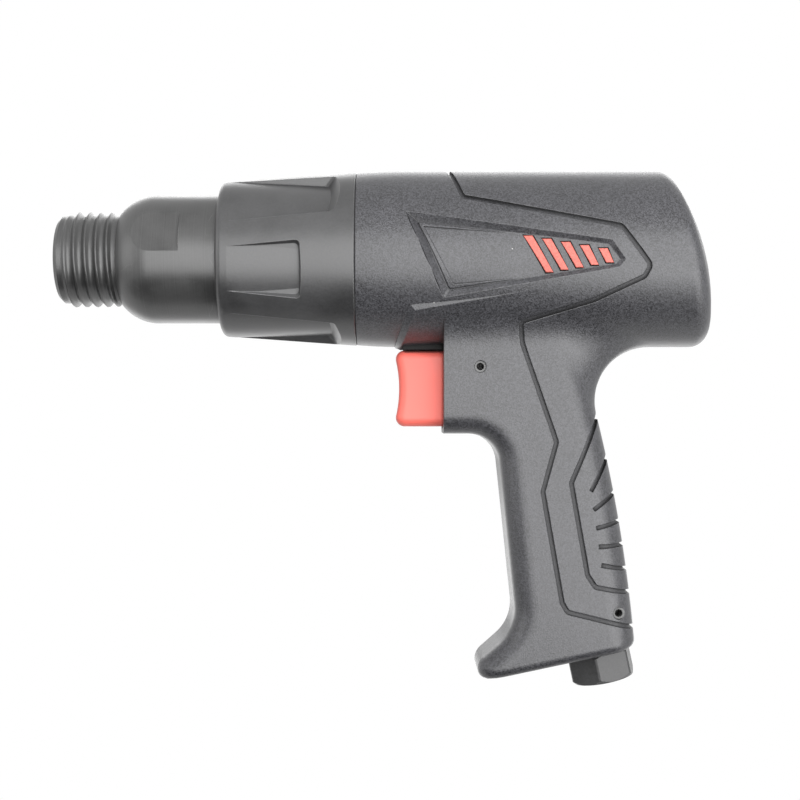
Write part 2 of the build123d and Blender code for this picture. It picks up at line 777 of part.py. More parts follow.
# Front sleeve: a coned cover with six flutes, clamped between the barrel's step and the housing
with BuildPart() as flutes:
    for index in range(FLUTE_PAIRS):
        turn = SHORT_FLUTE_ANGLE + index * 360 / FLUTE_PAIRS
        short = (SHORT_FLUTE_START, SHORT_FLUTE_LENGTH, SHORT_FLUTE_SPAN_FRONT, SHORT_FLUTE_SPAN_REAR)
        add(flute_wedge(turn, *short, SHORT_FLUTE_END_ANGLE))
        long = (LONG_FLUTE_START, LONG_FLUTE_LENGTH, LONG_FLUTE_SPAN_FRONT, LONG_FLUTE_SPAN_REAR)
        add(flute_wedge(turn + 180 / FLUTE_PAIRS, *long, LONG_FLUTE_END_ANGLE))
    with BuildSketch(Plane.XZ):
        with BuildLine():
            Polyline(
                (SLEEVE_FRONT, 0),
                (SLEEVE_FRONT, flute_front_r),
                (seam_x, flute_rear_r),
                (seam_x, 0),
                close=True,
            )
        make_face()
    revolve(axis=Axis.X, mode=Mode.SUBTRACT)

with BuildPart() as front_sleeve:
    with BuildSketch(Plane.XZ):
        with BuildLine():
            Polyline(
                (SLEEVE_FRONT, mouth_r),
                (SLEEVE_FRONT, sleeve_front_r),
                (seam_x, sleeve_rear_r),
                (seam_x, insert_flange_r + PRESS_FIT),
                (seam_x - GASKET_THICK, insert_flange_r + PRESS_FIT),
                (seam_x - GASKET_THICK, gasket_in_r - PRESS_FIT),
                (seam_x, gasket_in_r - PRESS_FIT),
                (seam_x, spigot_r + RUNNING_FIT),
                (clamp_x, spigot_r + RUNNING_FIT),
                (clamp_x, plenum_r),
                (land_end, plenum_r),
                (land_end - SLEEVE_LIP_SLOPE, mouth_r),
                close=True,
            )
        make_face()
    revolve(axis=Axis.X)
    nose = edges().filter_by(GeomType.CIRCLE).group_by(Axis.X)[0].sort_by(SortBy.RADIUS)[-1]
    fillet(nose, SLEEVE_NOSE_R)
    rear_edge = edges().filter_by(GeomType.CIRCLE).group_by(Axis.X)[-1].sort_by(SortBy.RADIUS)[-1]
    chamfer(rear_edge, SEAM_BREAK)
    add(flutes.part, mode=Mode.SUBTRACT)
finish_piece(front_sleeve, "front_sleeve")

# Gasket in the sleeve's rear face, and the threaded insert moulded into the housing
with BuildPart() as sleeve_gasket:
    add(ring(seam_x - GASKET_THICK, GASKET_THICK, gasket_in_r, insert_flange_r))
finish_piece(sleeve_gasket, "sleeve_gasket")

with BuildPart() as head_insert:
    add(ring(seam_x, INSERT_LENGTH, spigot_r + RUNNING_FIT, insert_r))
    add(ring(seam_x, INSERT_FLANGE, spigot_r + RUNNING_FIT, insert_flange_r))
finish_piece(head_insert, "head_insert")

with BuildPart() as barrel_seal:
    with Locations(Plane.YZ.offset(seal_start + seal_groove / 2).location):
        Torus(tail_bore_r - PRESS_FIT - SEAL_CORD_R, SEAL_CORD_R)
finish_piece(barrel_seal, "barrel_seal")

# Piston: a hardened slug that runs the length of the bore, hollowed at its rear
piston_rear = BARREL_LENGTH - PISTON_REST_GAP
piston_front = piston_rear - PISTON_LENGTH
piston_r = BORE_R - RUNNING_FIT
with BuildPart() as piston:
    with BuildSketch(Plane.XZ):
        with BuildLine():
            Polyline(
                (piston_front, 0),
                (piston_front, piston_r - EDGE_BREAK),
                (piston_front + EDGE_BREAK, piston_r),
                (piston_rear - EDGE_BREAK, piston_r),
                (piston_rear, piston_r - EDGE_BREAK),
                (piston_rear, PISTON_HOLLOW_R),
                (piston_rear - PISTON_HOLLOW_DEPTH, PISTON_HOLLOW_R),
                (piston_rear - PISTON_HOLLOW_DEPTH - PISTON_HOLLOW_R, 0),
                close=True,
            )
        make_face()
    revolve(axis=Axis.X)
finish_piece(piston, "piston")

# Automatic valve: two plates with a floating disc between them, located on the barrel by dowels
with BuildPart() as valve_front_plate:
    with BuildSketch(Plane.YZ.offset(BARREL_LENGTH)):
        Circle(tail_r)
        Circle(VALVE_CENTRE_R, mode=Mode.SUBTRACT)
        with PolarLocations(VALVE_PORT_RING_R, VALVE_PORT_COUNT):
            Circle(VALVE_PORT_R, mode=Mode.SUBTRACT)
        with PolarLocations(dowel_ring_r, DOWEL_COUNT):
            Circle(DOWEL_R + PRESS_FIT, mode=Mode.SUBTRACT)
    extrude(amount=VALVE_FRONT_THICK)
finish_piece(valve_front_plate, "valve_front_plate")

with BuildPart() as valve_disc:
    add(ring(valve_mid + VALVE_DISC_GAP, VALVE_DISC_THICK, VALVE_PORT_R, BORE_R - VALVE_DISC_SIDE))
finish_piece(valve_disc, "valve_disc")

chamber_floor = valve_mid + VALVE_CHAMBER_DEPTH
waist_x = valve_mid + VALVE_WAIST_START
with BuildPart() as valve_rear_plate:
    with BuildSketch(Plane.XZ):
        with BuildLine():
            Polyline(
                (chamber_floor, 0),
                (chamber_floor, BORE_R),
                (valve_mid, BORE_R),
                (valve_mid, tail_r),
                (waist_x, tail_r),
                (waist_x, valve_waist_r),
                (waist_x + VALVE_WAIST_LENGTH, valve_waist_r),
                (waist_x + VALVE_WAIST_LENGTH, tail_r),
                (valve_end, tail_r),
                (valve_end, 0),
                close=True,
            )
        make_face()
    revolve(axis=Axis.X)
    with BuildSketch(Plane.YZ.offset(chamber_floor)):
        with PolarLocations(VALVE_PORT_RING_R, VALVE_PORT_COUNT):
            Circle(VALVE_PORT_R)
    extrude(amount=waist_x + VALVE_WAIST_LENGTH / 2 - chamber_floor, mode=Mode.SUBTRACT)
    for index in range(VALVE_PORT_COUNT):
        turn = index * 360 / VALVE_PORT_COUNT
        with BuildSketch(radial_plane(turn, VALVE_PORT_RING_R, waist_x + VALVE_WAIST_LENGTH / 2)):
            Circle(VALVE_PORT_R)
        extrude(amount=valve_waist_r, mode=Mode.SUBTRACT)
    with BuildSketch(Plane.YZ.offset(valve_mid)):
        with PolarLocations(dowel_ring_r, DOWEL_COUNT):
            Circle(DOWEL_R + PRESS_FIT)
    extrude(amount=VALVE_WAIST_START, mode=Mode.SUBTRACT)
finish_piece(valve_rear_plate, "valve_rear_plate")

with BuildPart() as valve_dowels:
    with BuildSketch(Plane.YZ.offset(BARREL_LENGTH - DOWEL_DEPTH)):
        with PolarLocations(dowel_ring_r, DOWEL_COUNT):
            Circle(DOWEL_R)
    extrude(amount=DOWEL_DEPTH + VALVE_FRONT_THICK + VALVE_WAIST_START)
finish_piece(valve_dowels, "valve_dowels")

with BuildPart() as rear_buffer:
    add(ring(valve_end, BUFFER_THICK, BUFFER_IN_R, tail_r))
finish_piece(rear_buffer, "rear_buffer")

# Trigger: a block with a finger hollow, guided in the handle and kept by a pin in its slot
hollow_r = (TRIGGER_HEIGHT**2 / 4 + TRIGGER_HOLLOW**2) / (2 * TRIGGER_HOLLOW)
with BuildPart() as trigger:
    with BuildSketch(Plane.YZ.offset(trigger_front)):
        with Locations((0, trigger_mid)):
            RectangleRounded(2 * TRIGGER_HALF_WIDTH, TRIGGER_HEIGHT, TRIGGER_CORNER_R)
    extrude(amount=trigger_end - trigger_front)
    with BuildSketch(Plane.XZ):
        with Locations((trigger_front + TRIGGER_HOLLOW - hollow_r, trigger_mid)):
            Circle(hollow_r)
    extrude(amount=2 * TRIGGER_HALF_WIDTH, both=True, mode=Mode.SUBTRACT)
    fillet(faces().sort_by(Axis.X)[0].edges(), TRIGGER_EDGE_R)
    with BuildSketch(Plane.XZ):
        with Locations((trigger_pin_at[0] - TRIGGER_TRAVEL / 2, trigger_pin_at[1])):
            SlotCenterToCenter(TRIGGER_TRAVEL, 2 * (PIN_R + PIN_SLOT_FIT))
    extrude(amount=2 * TRIGGER_HALF_WIDTH, both=True, mode=Mode.SUBTRACT)
    with BuildSketch(Plane.YZ.offset(trigger_end)):
        with Locations((0, throttle_z)):
            Circle(STEM_R + PRESS_FIT)
    extrude(amount=-STEM_SOCKET, mode=Mode.SUBTRACT)
finish_piece(trigger, "trigger")

with BuildPart() as trigger_pin:
    add(hollow_pin(trigger_pin_at, HANDLE_HALF_WIDTH - PIN_SINK))
finish_piece(trigger_pin, "trigger_pin")

# Throttle valve: the stem pushed by the trigger lifts its head off the seat in the bush
bush_groove = 2 * (BUSH_SEAL_CORD_R + SEAL_GROOVE_SIDE)
bush_groove_floor = BUSH_R + PRESS_FIT - 2 * BUSH_SEAL_CORD_R - 2 * PRESS_FIT
bush_groove_start = pocket_end + BUSH_SEAL_OFFSET
with BuildPart() as throttle_bush:
    with BuildSketch(Plane.XZ):
        with BuildLine():
            Polyline(
                (pocket_end, throttle_z + STEM_R + RUNNING_FIT),
                (pocket_end, throttle_z + BUSH_R),
                (bush_groove_start, throttle_z + BUSH_R),
                (bush_groove_start, throttle_z + bush_groove_floor),
                (bush_groove_start + bush_groove, throttle_z + bush_groove_floor),
                (bush_groove_start + bush_groove, throttle_z + BUSH_R),
                (bush_end, throttle_z + BUSH_R),
                (bush_end, throttle_z + BUSH_SEAT_R),
                (pocket_end + BUSH_GUIDE, throttle_z + BUSH_SEAT_R),
                (pocket_end + BUSH_GUIDE, throttle_z + STEM_R + RUNNING_FIT),
                close=True,
            )
        make_face()
    revolve(axis=throttle_axis)
    with BuildSketch(Plane.XY.offset(throttle_z)):
        with Locations((bush_port_x, 0)):
            Circle(BUSH_PORT_R)
    extrude(amount=BUSH_R + CUT_SPARE, mode=Mode.SUBTRACT)
finish_piece(throttle_bush, "throttle_bush")

with BuildPart() as bush_seal:
    with Locations(Plane((bush_groove_start + bush_groove / 2, 0, throttle_z), z_dir=(1, 0, 0)).location):
        Torus(BUSH_R - BUSH_SEAL_CORD_R, BUSH_SEAL_CORD_R)
finish_piece(bush_seal, "bush_seal")

with BuildPart() as throttle_stem:
    with BuildSketch(Plane.XZ):
        with BuildLine():
            Polyline(
                (trigger_end - STEM_SOCKET, throttle_z),
                (trigger_end - STEM_SOCKET, throttle_z + STEM_R),
                (stem_head_x, throttle_z + STEM_R),
                (stem_head_x, throttle_z + STEM_HEAD_R),
                (spring_start, throttle_z + STEM_HEAD_R),
                (spring_start, throttle_z + STEM_R),
                (spring_start + STEM_PILOT, throttle_z + STEM_R),
                (spring_start + STEM_PILOT, throttle_z),
                close=True,
            )
        make_face()
    revolve(axis=throttle_axis)
finish_piece(throttle_stem, "throttle_stem")

with BuildPart() as throttle_seal:
    seal_x = bush_end + STEM_SEAL_GAP
    add(ring(seal_x, STEM_SEAL_THICK, STEM_R + PRESS_FIT, STEM_HEAD_R, throttle_axis, throttle_z))
finish_piece(throttle_seal, "throttle_seal")

spring_lead = SPRING_WIRE / 2 + SPRING_END_GAP
spring_height = chamber_end - spring_start - 2 * spring_lead
with BuildPart() as throttle_spring:
    with BuildLine() as coil:
        Helix(
            pitch=spring_height / SPRING_TURNS,
            height=spring_height,
            radius=SPRING_R,
            center=(spring_start + spring_lead, 0, throttle_z),
            direction=(1, 0, 0),
        )
    with BuildSketch(Plane(origin=coil.line @ 0, z_dir=coil.line % 0)):
        Circle(SPRING_WIRE / 2)
    sweep(path=coil.line, is_frenet=True)
finish_piece(throttle_spring, "throttle_spring")

# Air inlet: a hexagon bushing in the foot, held by a pin across its shank
inlet_groove = 2 * (SEAL_CORD_R + SEAL_GROOVE_SIDE)
inlet_bore_r = INLET_SHANK_R + PRESS_FIT
inlet_groove_floor = inlet_bore_r - 2 * SEAL_CORD_R - 2 * PRESS_FIT
hex_end = inlet_plane.offset(-INLET_HEX_HEIGHT)
with BuildPart() as hex_turning:
    with BuildSketch(hex_end):
        Circle(INLET_HEX_TURNED_R)
    extrude(amount=INLET_HEX_HEIGHT)
    chamfer(edges().filter_by(GeomType.CIRCLE), INLET_HEX_CHAMFER)

with BuildPart() as inlet_bushing:
    with BuildSketch(hex_end):
        RegularPolygon(INLET_HEX_FLATS / 2, 6, major_radius=False, rotation=INLET_HEX_TWIST)
    extrude(amount=INLET_HEX_HEIGHT)
    add(hex_turning.part, mode=Mode.INTERSECT)
    with BuildSketch(inlet_plane):
        Circle(INLET_SHANK_R)
    extrude(amount=INLET_SHANK_LENGTH)
    with BuildSketch(hex_end):
        Circle(INLET_THREAD_R)
    extrude(amount=INLET_THREAD_DEPTH, mode=Mode.SUBTRACT)
    with BuildSketch(hex_end):
        Circle(SCREEN_R)
    extrude(amount=INLET_THREAD_DEPTH + SCREEN_THICK, mode=Mode.SUBTRACT)
    with BuildSketch(hex_end):
        Circle(INLET_FLOW_R)
    extrude(amount=INLET_HEX_HEIGHT + INLET_SHANK_LENGTH, mode=Mode.SUBTRACT)
    with BuildSketch(inlet_plane.offset(INLET_SEAL_HEIGHT)):
        Circle(inlet_bore_r)
        Circle(inlet_groove_floor, mode=Mode.SUBTRACT)
    extrude(amount=inlet_groove, mode=Mode.SUBTRACT)
    with BuildSketch(Plane.XZ):
        with Locations(inlet_pin_at):
            Circle(PIN_R + PRESS_FIT)
    extrude(amount=HANDLE_HALF_WIDTH, both=True, mode=Mode.SUBTRACT)
finish_piece(inlet_bushing, "inlet_bushing")

with BuildPart() as inlet_seal:
    with Locations(inlet_plane.offset(INLET_SEAL_HEIGHT + inlet_groove / 2).location):
        Torus(inlet_bore_r - PRESS_FIT - SEAL_CORD_R, SEAL_CORD_R)
finish_piece(inlet_seal, "inlet_seal")

with BuildPart() as inlet_screen:
    with BuildSketch(hex_end.offset(INLET_THREAD_DEPTH)):
        Circle(SCREEN_R - PRESS_FIT)
        with GridLocations(SCREEN_PITCH, SCREEN_PITCH, SCREEN_ROWS, SCREEN_ROWS):
            Circle(SCREEN_HOLE_R, mode=Mode.SUBTRACT)
    extrude(amount=SCREEN_THICK)
finish_piece(inlet_screen, "inlet_screen")

with BuildPart() as inlet_pin:
    add(hollow_pin(inlet_pin_at, HANDLE_HALF_WIDTH - INLET_PIN_SINK))
finish_piece(inlet_pin, "inlet_pin")
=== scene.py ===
# %% [markdown]
# # An air hammer, dressed for its portrait
# The hammer is already drawn as exact solids and packed as a fixed frame: housing, sleeve, barrel,
# trigger and everything inside. This lesson adds what makes it look real. It could all be modelled
# again by hand, but the frame has the true sizes and joints, so we only load it, give every piece
# its finish, and replace the few pieces that need more shape than the solids have.

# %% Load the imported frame
import json
import math

import bmesh
import bpy
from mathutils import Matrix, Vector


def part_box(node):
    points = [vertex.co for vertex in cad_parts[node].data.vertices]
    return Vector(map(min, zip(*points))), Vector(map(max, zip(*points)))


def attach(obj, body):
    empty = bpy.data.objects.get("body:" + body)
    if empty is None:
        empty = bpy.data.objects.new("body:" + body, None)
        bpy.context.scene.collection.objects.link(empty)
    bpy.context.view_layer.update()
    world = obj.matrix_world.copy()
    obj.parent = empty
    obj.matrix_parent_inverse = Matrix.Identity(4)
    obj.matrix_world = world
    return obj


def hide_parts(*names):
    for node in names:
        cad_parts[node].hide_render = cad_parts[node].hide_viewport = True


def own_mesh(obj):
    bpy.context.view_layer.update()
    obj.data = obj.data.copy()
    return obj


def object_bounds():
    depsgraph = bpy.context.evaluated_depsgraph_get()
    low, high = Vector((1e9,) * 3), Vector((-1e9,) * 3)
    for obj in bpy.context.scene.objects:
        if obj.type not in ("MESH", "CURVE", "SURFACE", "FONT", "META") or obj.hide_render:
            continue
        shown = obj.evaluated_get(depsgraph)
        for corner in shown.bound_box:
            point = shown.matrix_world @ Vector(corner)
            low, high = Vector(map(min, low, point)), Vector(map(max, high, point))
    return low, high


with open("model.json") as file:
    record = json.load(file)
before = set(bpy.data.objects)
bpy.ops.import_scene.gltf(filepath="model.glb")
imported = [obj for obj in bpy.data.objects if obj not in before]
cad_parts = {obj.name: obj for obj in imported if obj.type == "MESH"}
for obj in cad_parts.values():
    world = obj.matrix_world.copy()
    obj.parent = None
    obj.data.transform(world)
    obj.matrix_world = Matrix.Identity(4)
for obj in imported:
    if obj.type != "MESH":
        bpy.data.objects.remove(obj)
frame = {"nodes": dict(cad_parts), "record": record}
cad_box = [list(corner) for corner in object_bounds()]
nodes = frame["nodes"]
mounts = {mount["name"]: mount for mount in frame["record"]["mounts"]}
print(len(nodes), "solids inside the box", cad_box)

# %% [markdown]
# ## The camera
# The photograph looks square at the hammer's side from less than half a metre away, so the barrel's
# nose shows a little of its curve. A long lens from far away would flatten that. We place the camera
# at the measured distance with a lens that frames the same field, and use no shift.

# %% Camera
CAMERA_AT = (0.1097, -0.455, -0.0455)
LENS = 63.0

camera = bpy.data.objects.new("photo_camera", bpy.data.cameras.new("photo_camera"))
camera.location = CAMERA_AT
camera.rotation_euler = (math.radians(90), 0, 0)
camera.data.lens = LENS
bpy.context.collection.objects.link(camera)
bpy.context.scene.camera = camera
bpy.context.scene.view_settings.view_transform = "Standard"
print("camera at", CAMERA_AT, "with a lens of", LENS, "mm")

# %% [markdown]
# ## Small helpers for node trees
# Every material and every generated shape below is a tree of nodes. Placing nodes by hand takes three
# lines each: make it, set its options, fill or link its inputs. One helper does all three, and the
# others write arithmetic, ranges and colour blends as single calls that hand back the result's socket.

# %% Node helpers
def feed(tree, socket, value):
    """Links a socket to what another node gives, or sets it to a plain value."""
    if isinstance(value, bpy.types.NodeSocket):
        tree.links.new(value, socket)
    else:
        socket.default_value = value


def put(tree, kind, inputs=None, **options):
    """Adds a node with its options set and its inputs fed."""
    made = tree.nodes.new(kind)
    for name, value in options.items():
        setattr(made, name, value)
    for key, value in (inputs or {}).items():
        feed(tree, made.inputs[key], value)
    return made


def calc(tree, operation, *values):
    """Adds a Math node and returns its result."""
    return put(tree, "ShaderNodeMath", dict(enumerate(values)), operation=operation).outputs[0]


def remap(tree, value, low, high, to_low=0.0, to_high=1.0, curve="SMOOTHSTEP"):
    """Adds a Map Range node and returns its result."""
    ends = {"Value": value, "From Min": low, "From Max": high, "To Min": to_low, "To Max": to_high}
    return put(tree, "ShaderNodeMapRange", ends, interpolation_type=curve).outputs["Result"]


def blend_colours(tree, factor, first, second):
    """Adds a colour Mix node and returns its result."""
    return put(tree, "ShaderNodeMix", {0: factor, 6: first, 7: second}, data_type="RGBA").outputs[2]


print("node helpers ready")

# %% [markdown]
# ## The stage
# The photograph has a pure white surround. A lit white room would throw light on the hammer from every
# side and wash out its dark undersides. So the world is white only to the eye and to reflections, and
# gives the surfaces a weak fill. The floor is a pale disc below the hammer that keeps its shadow and
# thins out into the white.

# %% World and floor
WHITE = (1.0, 1.0, 1.0, 1.0)
FILL_STRENGTH = 0.15
FLOOR_DROP = 0.10
FLOOR_FORWARD = 0.13
FLOOR_SOLID = 0.24
FLOOR_RADIUS = 0.34
FLOOR_SEGMENTS = 96
FLOOR_COLOUR = (0.8, 0.8, 0.8, 1.0)
FLOOR_ROUGHNESS = 0.9
FLOOR_GLOW = 0.4

world = bpy.data.worlds.new("white_studio")
world.use_nodes = True
bpy.context.scene.world = world
sky = world.node_tree
rays = put(sky, "ShaderNodeLightPath").outputs
seen = calc(sky, "MAXIMUM", rays["Is Camera Ray"], rays["Is Glossy Ray"])
seen = calc(sky, "MAXIMUM", seen, rays["Is Transmission Ray"])
backdrop = sky.nodes["Background"]
backdrop.inputs["Color"].default_value = WHITE
feed(sky, backdrop.inputs["Strength"], remap(sky, seen, 0.0, 1.0, FILL_STRENGTH, 1.0, "LINEAR"))

middle = [(low + high) / 2 for low, high in zip(*cad_box)]
floor_at = (middle[0], middle[1] - FLOOR_FORWARD, cad_box[0][2] - FLOOR_DROP)
floor_mesh = bpy.data.meshes.new("floor")
disc = bmesh.new()
bmesh.ops.create_circle(disc, cap_ends=True, radius=FLOOR_RADIUS, segments=FLOOR_SEGMENTS)
bmesh.ops.translate(disc, verts=disc.verts, vec=floor_at)
disc.to_mesh(floor_mesh)
disc.free()
floor = bpy.data.objects.new("floor", floor_mesh)
bpy.context.collection.objects.link(floor)

paper = bpy.data.materials.new("floor_paper")
paper.use_nodes = True
tree = paper.node_tree
place = put(tree, "ShaderNodeTexCoord").outputs["Object"]
reach = put(tree, "ShaderNodeVectorMath", {0: place, 1: floor_at}, operation="DISTANCE").outputs["Value"]
shader = tree.nodes["Principled BSDF"]
shader.inputs["Base Color"].default_value = FLOOR_COLOUR
shader.inputs["Roughness"].default_value = FLOOR_ROUGHNESS
shader.inputs["Emission Color"].default_value = WHITE
rays = put(tree, "ShaderNodeLightPath").outputs
glow = calc(tree, "MULTIPLY", rays["Is Camera Ray"], FLOOR_GLOW)
feed(tree, shader.inputs["Emission Strength"], glow)
clear = put(tree, "ShaderNodeBsdfTransparent").outputs[0]
thin = remap(tree, reach, FLOOR_SOLID, FLOOR_RADIUS)
thin = calc(tree, "MAXIMUM", thin, rays["Is Glossy Ray"])
fade = put(tree, "ShaderNodeMixShader", {0: thin, 1: shader.outputs[0], 2: clear})
feed(tree, tree.nodes["Material Output"].inputs["Surface"], fade.outputs[0])
floor_mesh.materials.append(paper)
print("floor", FLOOR_DROP, "m below the hammer")

# %% [markdown]
# ## Lights and a flag
# A large softbox beside the camera draws the pale band along the tube. The one above lights the upper
# surfaces and isn't mirrored in them, where it would draw a second band. Two behind the hammer give its
# outline bright rims, one at the left reaches what faces the muzzle, and a card low in front lifts the
# tube's lower half. A photographer lays a black flag in front of the subject to keep its undersides
# deep. Ours does the same, out of the camera's sight. It reaches further forward under the barrel, and
# ends under the hammer, so that the lower rims still mirror the white behind.

# %% Lights
LIGHTS = {
    "front_softbox": {"at": (0.46, -1.05, -0.02), "size": (2.0, 1.3), "watts": 25.5, "mirrored": True},
    "top_softbox": {"at": (0.11, -0.8, 0.85), "size": (1.2, 0.8), "watts": 13.0, "mirrored": False},
    "back_softbox": {"at": (0.11, 1.2, 0.55), "size": (1.4, 0.8), "watts": 8.0, "mirrored": True},
    "low_softbox": {"at": (0.11, 0.9, -0.4), "size": (1.4, 0.5), "watts": 2.5, "mirrored": True},
    "front_card": {"at": (0.4, -0.4, -0.3), "size": (0.5, 0.34), "watts": 1.0, "mirrored": True},
    "left_softbox": {"at": (-1.0, -0.5, 0.15), "size": (0.8, 0.8), "watts": 3.0, "mirrored": True},
}
AIM = (0.10, 0.0, -0.04)

for name, values in LIGHTS.items():
    lamp = bpy.data.lights.new(name, "AREA")
    lamp.shape = "RECTANGLE"
    lamp.size, lamp.size_y = values["size"]
    lamp.energy = values["watts"]
    light = bpy.data.objects.new(name, lamp)
    light.location = values["at"]
    light.visible_glossy = values["mirrored"]
    light.visible_camera = False
    towards = [aim - at for aim, at in zip(AIM, values["at"])]
    flat = math.hypot(towards[0], towards[1])
    light.rotation_euler = (math.atan2(flat, -towards[2]), 0.0, math.atan2(-towards[0], towards[1]))
    bpy.context.collection.objects.link(light)
    print(name, values["watts"], "W")

# %% Black flag
FLAG_CORNERS = [(-0.25, -0.3), (0.1, -0.3), (0.26, -0.17), (0.26, -0.012), (-0.25, -0.012)]
FLAG_HEIGHT = -0.2
FLAG_COLOUR = (0.004, 0.004, 0.004, 1.0)

flag_mesh = bpy.data.meshes.new("black_flag")
flag_mesh.from_pydata([(x, y, FLAG_HEIGHT) for x, y in FLAG_CORNERS], [], [range(len(FLAG_CORNERS))])
flag = bpy.data.objects.new("black_flag", flag_mesh)
felt = bpy.data.materials.new("flag_felt")
felt.use_nodes = True
felt_shader = felt.node_tree.nodes["Principled BSDF"]
felt_shader.inputs["Base Color"].default_value = FLAG_COLOUR
felt_shader.inputs["Roughness"].default_value = 1.0
felt_shader.inputs["Specular IOR Level"].default_value = 0.0
flag_mesh.materials.append(felt)
flag.visible_camera = False
flag.visible_shadow = False
bpy.context.collection.objects.link(flag)
print("flag at height", FLAG_HEIGHT)

# %% [markdown]
# ## Effects that several finishes share
# Moulded grain, rubbed edges (darker on the trigger as painted edge shade), scuffs, dust, grime and painted
# shade in the corners, turning marks and a mould's parting line show all over a used tool, each time at
# another strength. They could be built again in each material. As node groups they are built once, with
# named inputs, and each material sets its own values.

# %% Start of a shared effect
def effect(name, inputs, outputs):
    """A shader node group with its named sockets, and the sockets to read from and write to."""
    group = bpy.data.node_groups.new(name, "ShaderNodeTree")
    for label, default in inputs.items():
        socket = group.interface.new_socket(label, in_out="INPUT", socket_type="NodeSocketFloat")
        socket.default_value = default
    for label, kind in outputs.items():
        group.interface.new_socket(label, in_out="OUTPUT", socket_type=kind)
    given = group.nodes.new("NodeGroupInput").outputs
    result = group.nodes.new("NodeGroupOutput").inputs
    return group, given, result


NUMBER = "NodeSocketFloat"
DIRECTION = "NodeSocketVector"
print("effects have", NUMBER, "and", DIRECTION, "outputs")

# %% Moulded grain
BLOTCH_SHARE = 0.03
BLOTCH_RANGE = (0.35, 0.65)

grain_outputs = {"Height": NUMBER, "Speck": NUMBER, "Tone": NUMBER}
grain, given, result = effect("Moulded grain", {"Size": 0.0005}, grain_outputs)
place = put(grain, "ShaderNodeTexCoord").outputs["Object"]
density = calc(grain, "DIVIDE", 1.0, given["Size"])
pebbles = put(grain, "ShaderNodeTexVoronoi", {"Vector": place, "Scale": density}, feature="SMOOTH_F1")
feed(grain, result["Height"], pebbles.outputs["Distance"])
pits = put(grain, "ShaderNodeTexVoronoi", {"Vector": place, "Scale": density}).outputs["Color"]
pits = put(grain, "ShaderNodeSeparateColor", {0: pits}).outputs[0]
feed(grain, result["Speck"], remap(grain, pits, 0.0, 1.0, -1.0, 1.0, "LINEAR"))
blotch_scale = calc(grain, "MULTIPLY", density, BLOTCH_SHARE)
blotches = put(grain, "ShaderNodeTexNoise", {"Vector": place, "Scale": blotch_scale, "Detail": 4.0})
feed(grain, result["Tone"], remap(grain, blotches.outputs["Fac"], *BLOTCH_RANGE, -1.0, 1.0))
print("effect:", grain.name)

# %% Rounded and rubbed edges, and painted edge shade
EFFECT_SAMPLES = 8
EDGE_TURN = (0.03, 0.2)
PATCH_SCALE = 220.0
PATCH_START = 0.8
PATCH_END = 0.75

edge_wear_and_shade_inputs = {"Radius": 0.0005, "Patchiness": 0.5}
edge_wear_and_shade, given, result = effect("Rounded edges", edge_wear_and_shade_inputs, {"Mask": NUMBER, "Normal": DIRECTION})
bevel = {"Radius": given["Radius"]}
rounded = put(edge_wear_and_shade, "ShaderNodeBevel", bevel, samples=EFFECT_SAMPLES).outputs["Normal"]
true_normal = put(edge_wear_and_shade, "ShaderNodeNewGeometry").outputs["Normal"]
facing = put(edge_wear_and_shade, "ShaderNodeVectorMath", {0: rounded, 1: true_normal}, operation="DOT_PRODUCT")
turned = remap(edge_wear_and_shade, calc(edge_wear_and_shade, "SUBTRACT", 1.0, facing.outputs["Value"]), *EDGE_TURN)
place = put(edge_wear_and_shade, "ShaderNodeTexCoord").outputs["Object"]
patches = {"Vector": place, "Scale": PATCH_SCALE, "Detail": 5.0}
patches = put(edge_wear_and_shade, "ShaderNodeTexNoise", patches).outputs["Fac"]
kept = remap(edge_wear_and_shade, patches, calc(edge_wear_and_shade, "MULTIPLY", given["Patchiness"], PATCH_START), PATCH_END)
feed(edge_wear_and_shade, result["Mask"], calc(edge_wear_and_shade, "MULTIPLY", turned, kept))
feed(edge_wear_and_shade, result["Normal"], rounded)
print("effect:", edge_wear_and_shade.name)

# %% Scuffs
BEND_SCALE = 60.0
BEND = (0.01, 0.01, 0.01)
GATE_SCALE = 140.0
GATE_START = 0.8
GATE_END = 0.85

scuff_inputs = {"Spacing": 0.02, "Width": 0.006, "Share": 0.3}
scuffs, given, result = effect("Scuffs", scuff_inputs, {"Mask": NUMBER})
place = put(scuffs, "ShaderNodeTexCoord").outputs["Object"]
bend = put(scuffs, "ShaderNodeTexNoise", {"Vector": place, "Scale": BEND_SCALE}).outputs["Color"]
sway = {0: bend, 1: BEND, 2: place}
bent = put(scuffs, "ShaderNodeVectorMath", sway, operation="MULTIPLY_ADD").outputs[0]
net = {"Vector": bent, "Scale": calc(scuffs, "DIVIDE", 1.0, given["Spacing"])}
lines = put(scuffs, "ShaderNodeTexVoronoi", net, feature="DISTANCE_TO_EDGE").outputs["Distance"]
thin = remap(scuffs, lines, 0.0, given["Width"], 1.0, 0.0)
gate = {"Vector": place, "Scale": GATE_SCALE, "Detail": 3.0}
gate = put(scuffs, "ShaderNodeTexNoise", gate).outputs["Fac"]
open_gate = remap(scuffs, gate, calc(scuffs, "SUBTRACT", GATE_START, given["Share"]), GATE_END)
feed(scuffs, result["Mask"], calc(scuffs, "MULTIPLY", thin, open_gate))
print("effect:", scuffs.name)

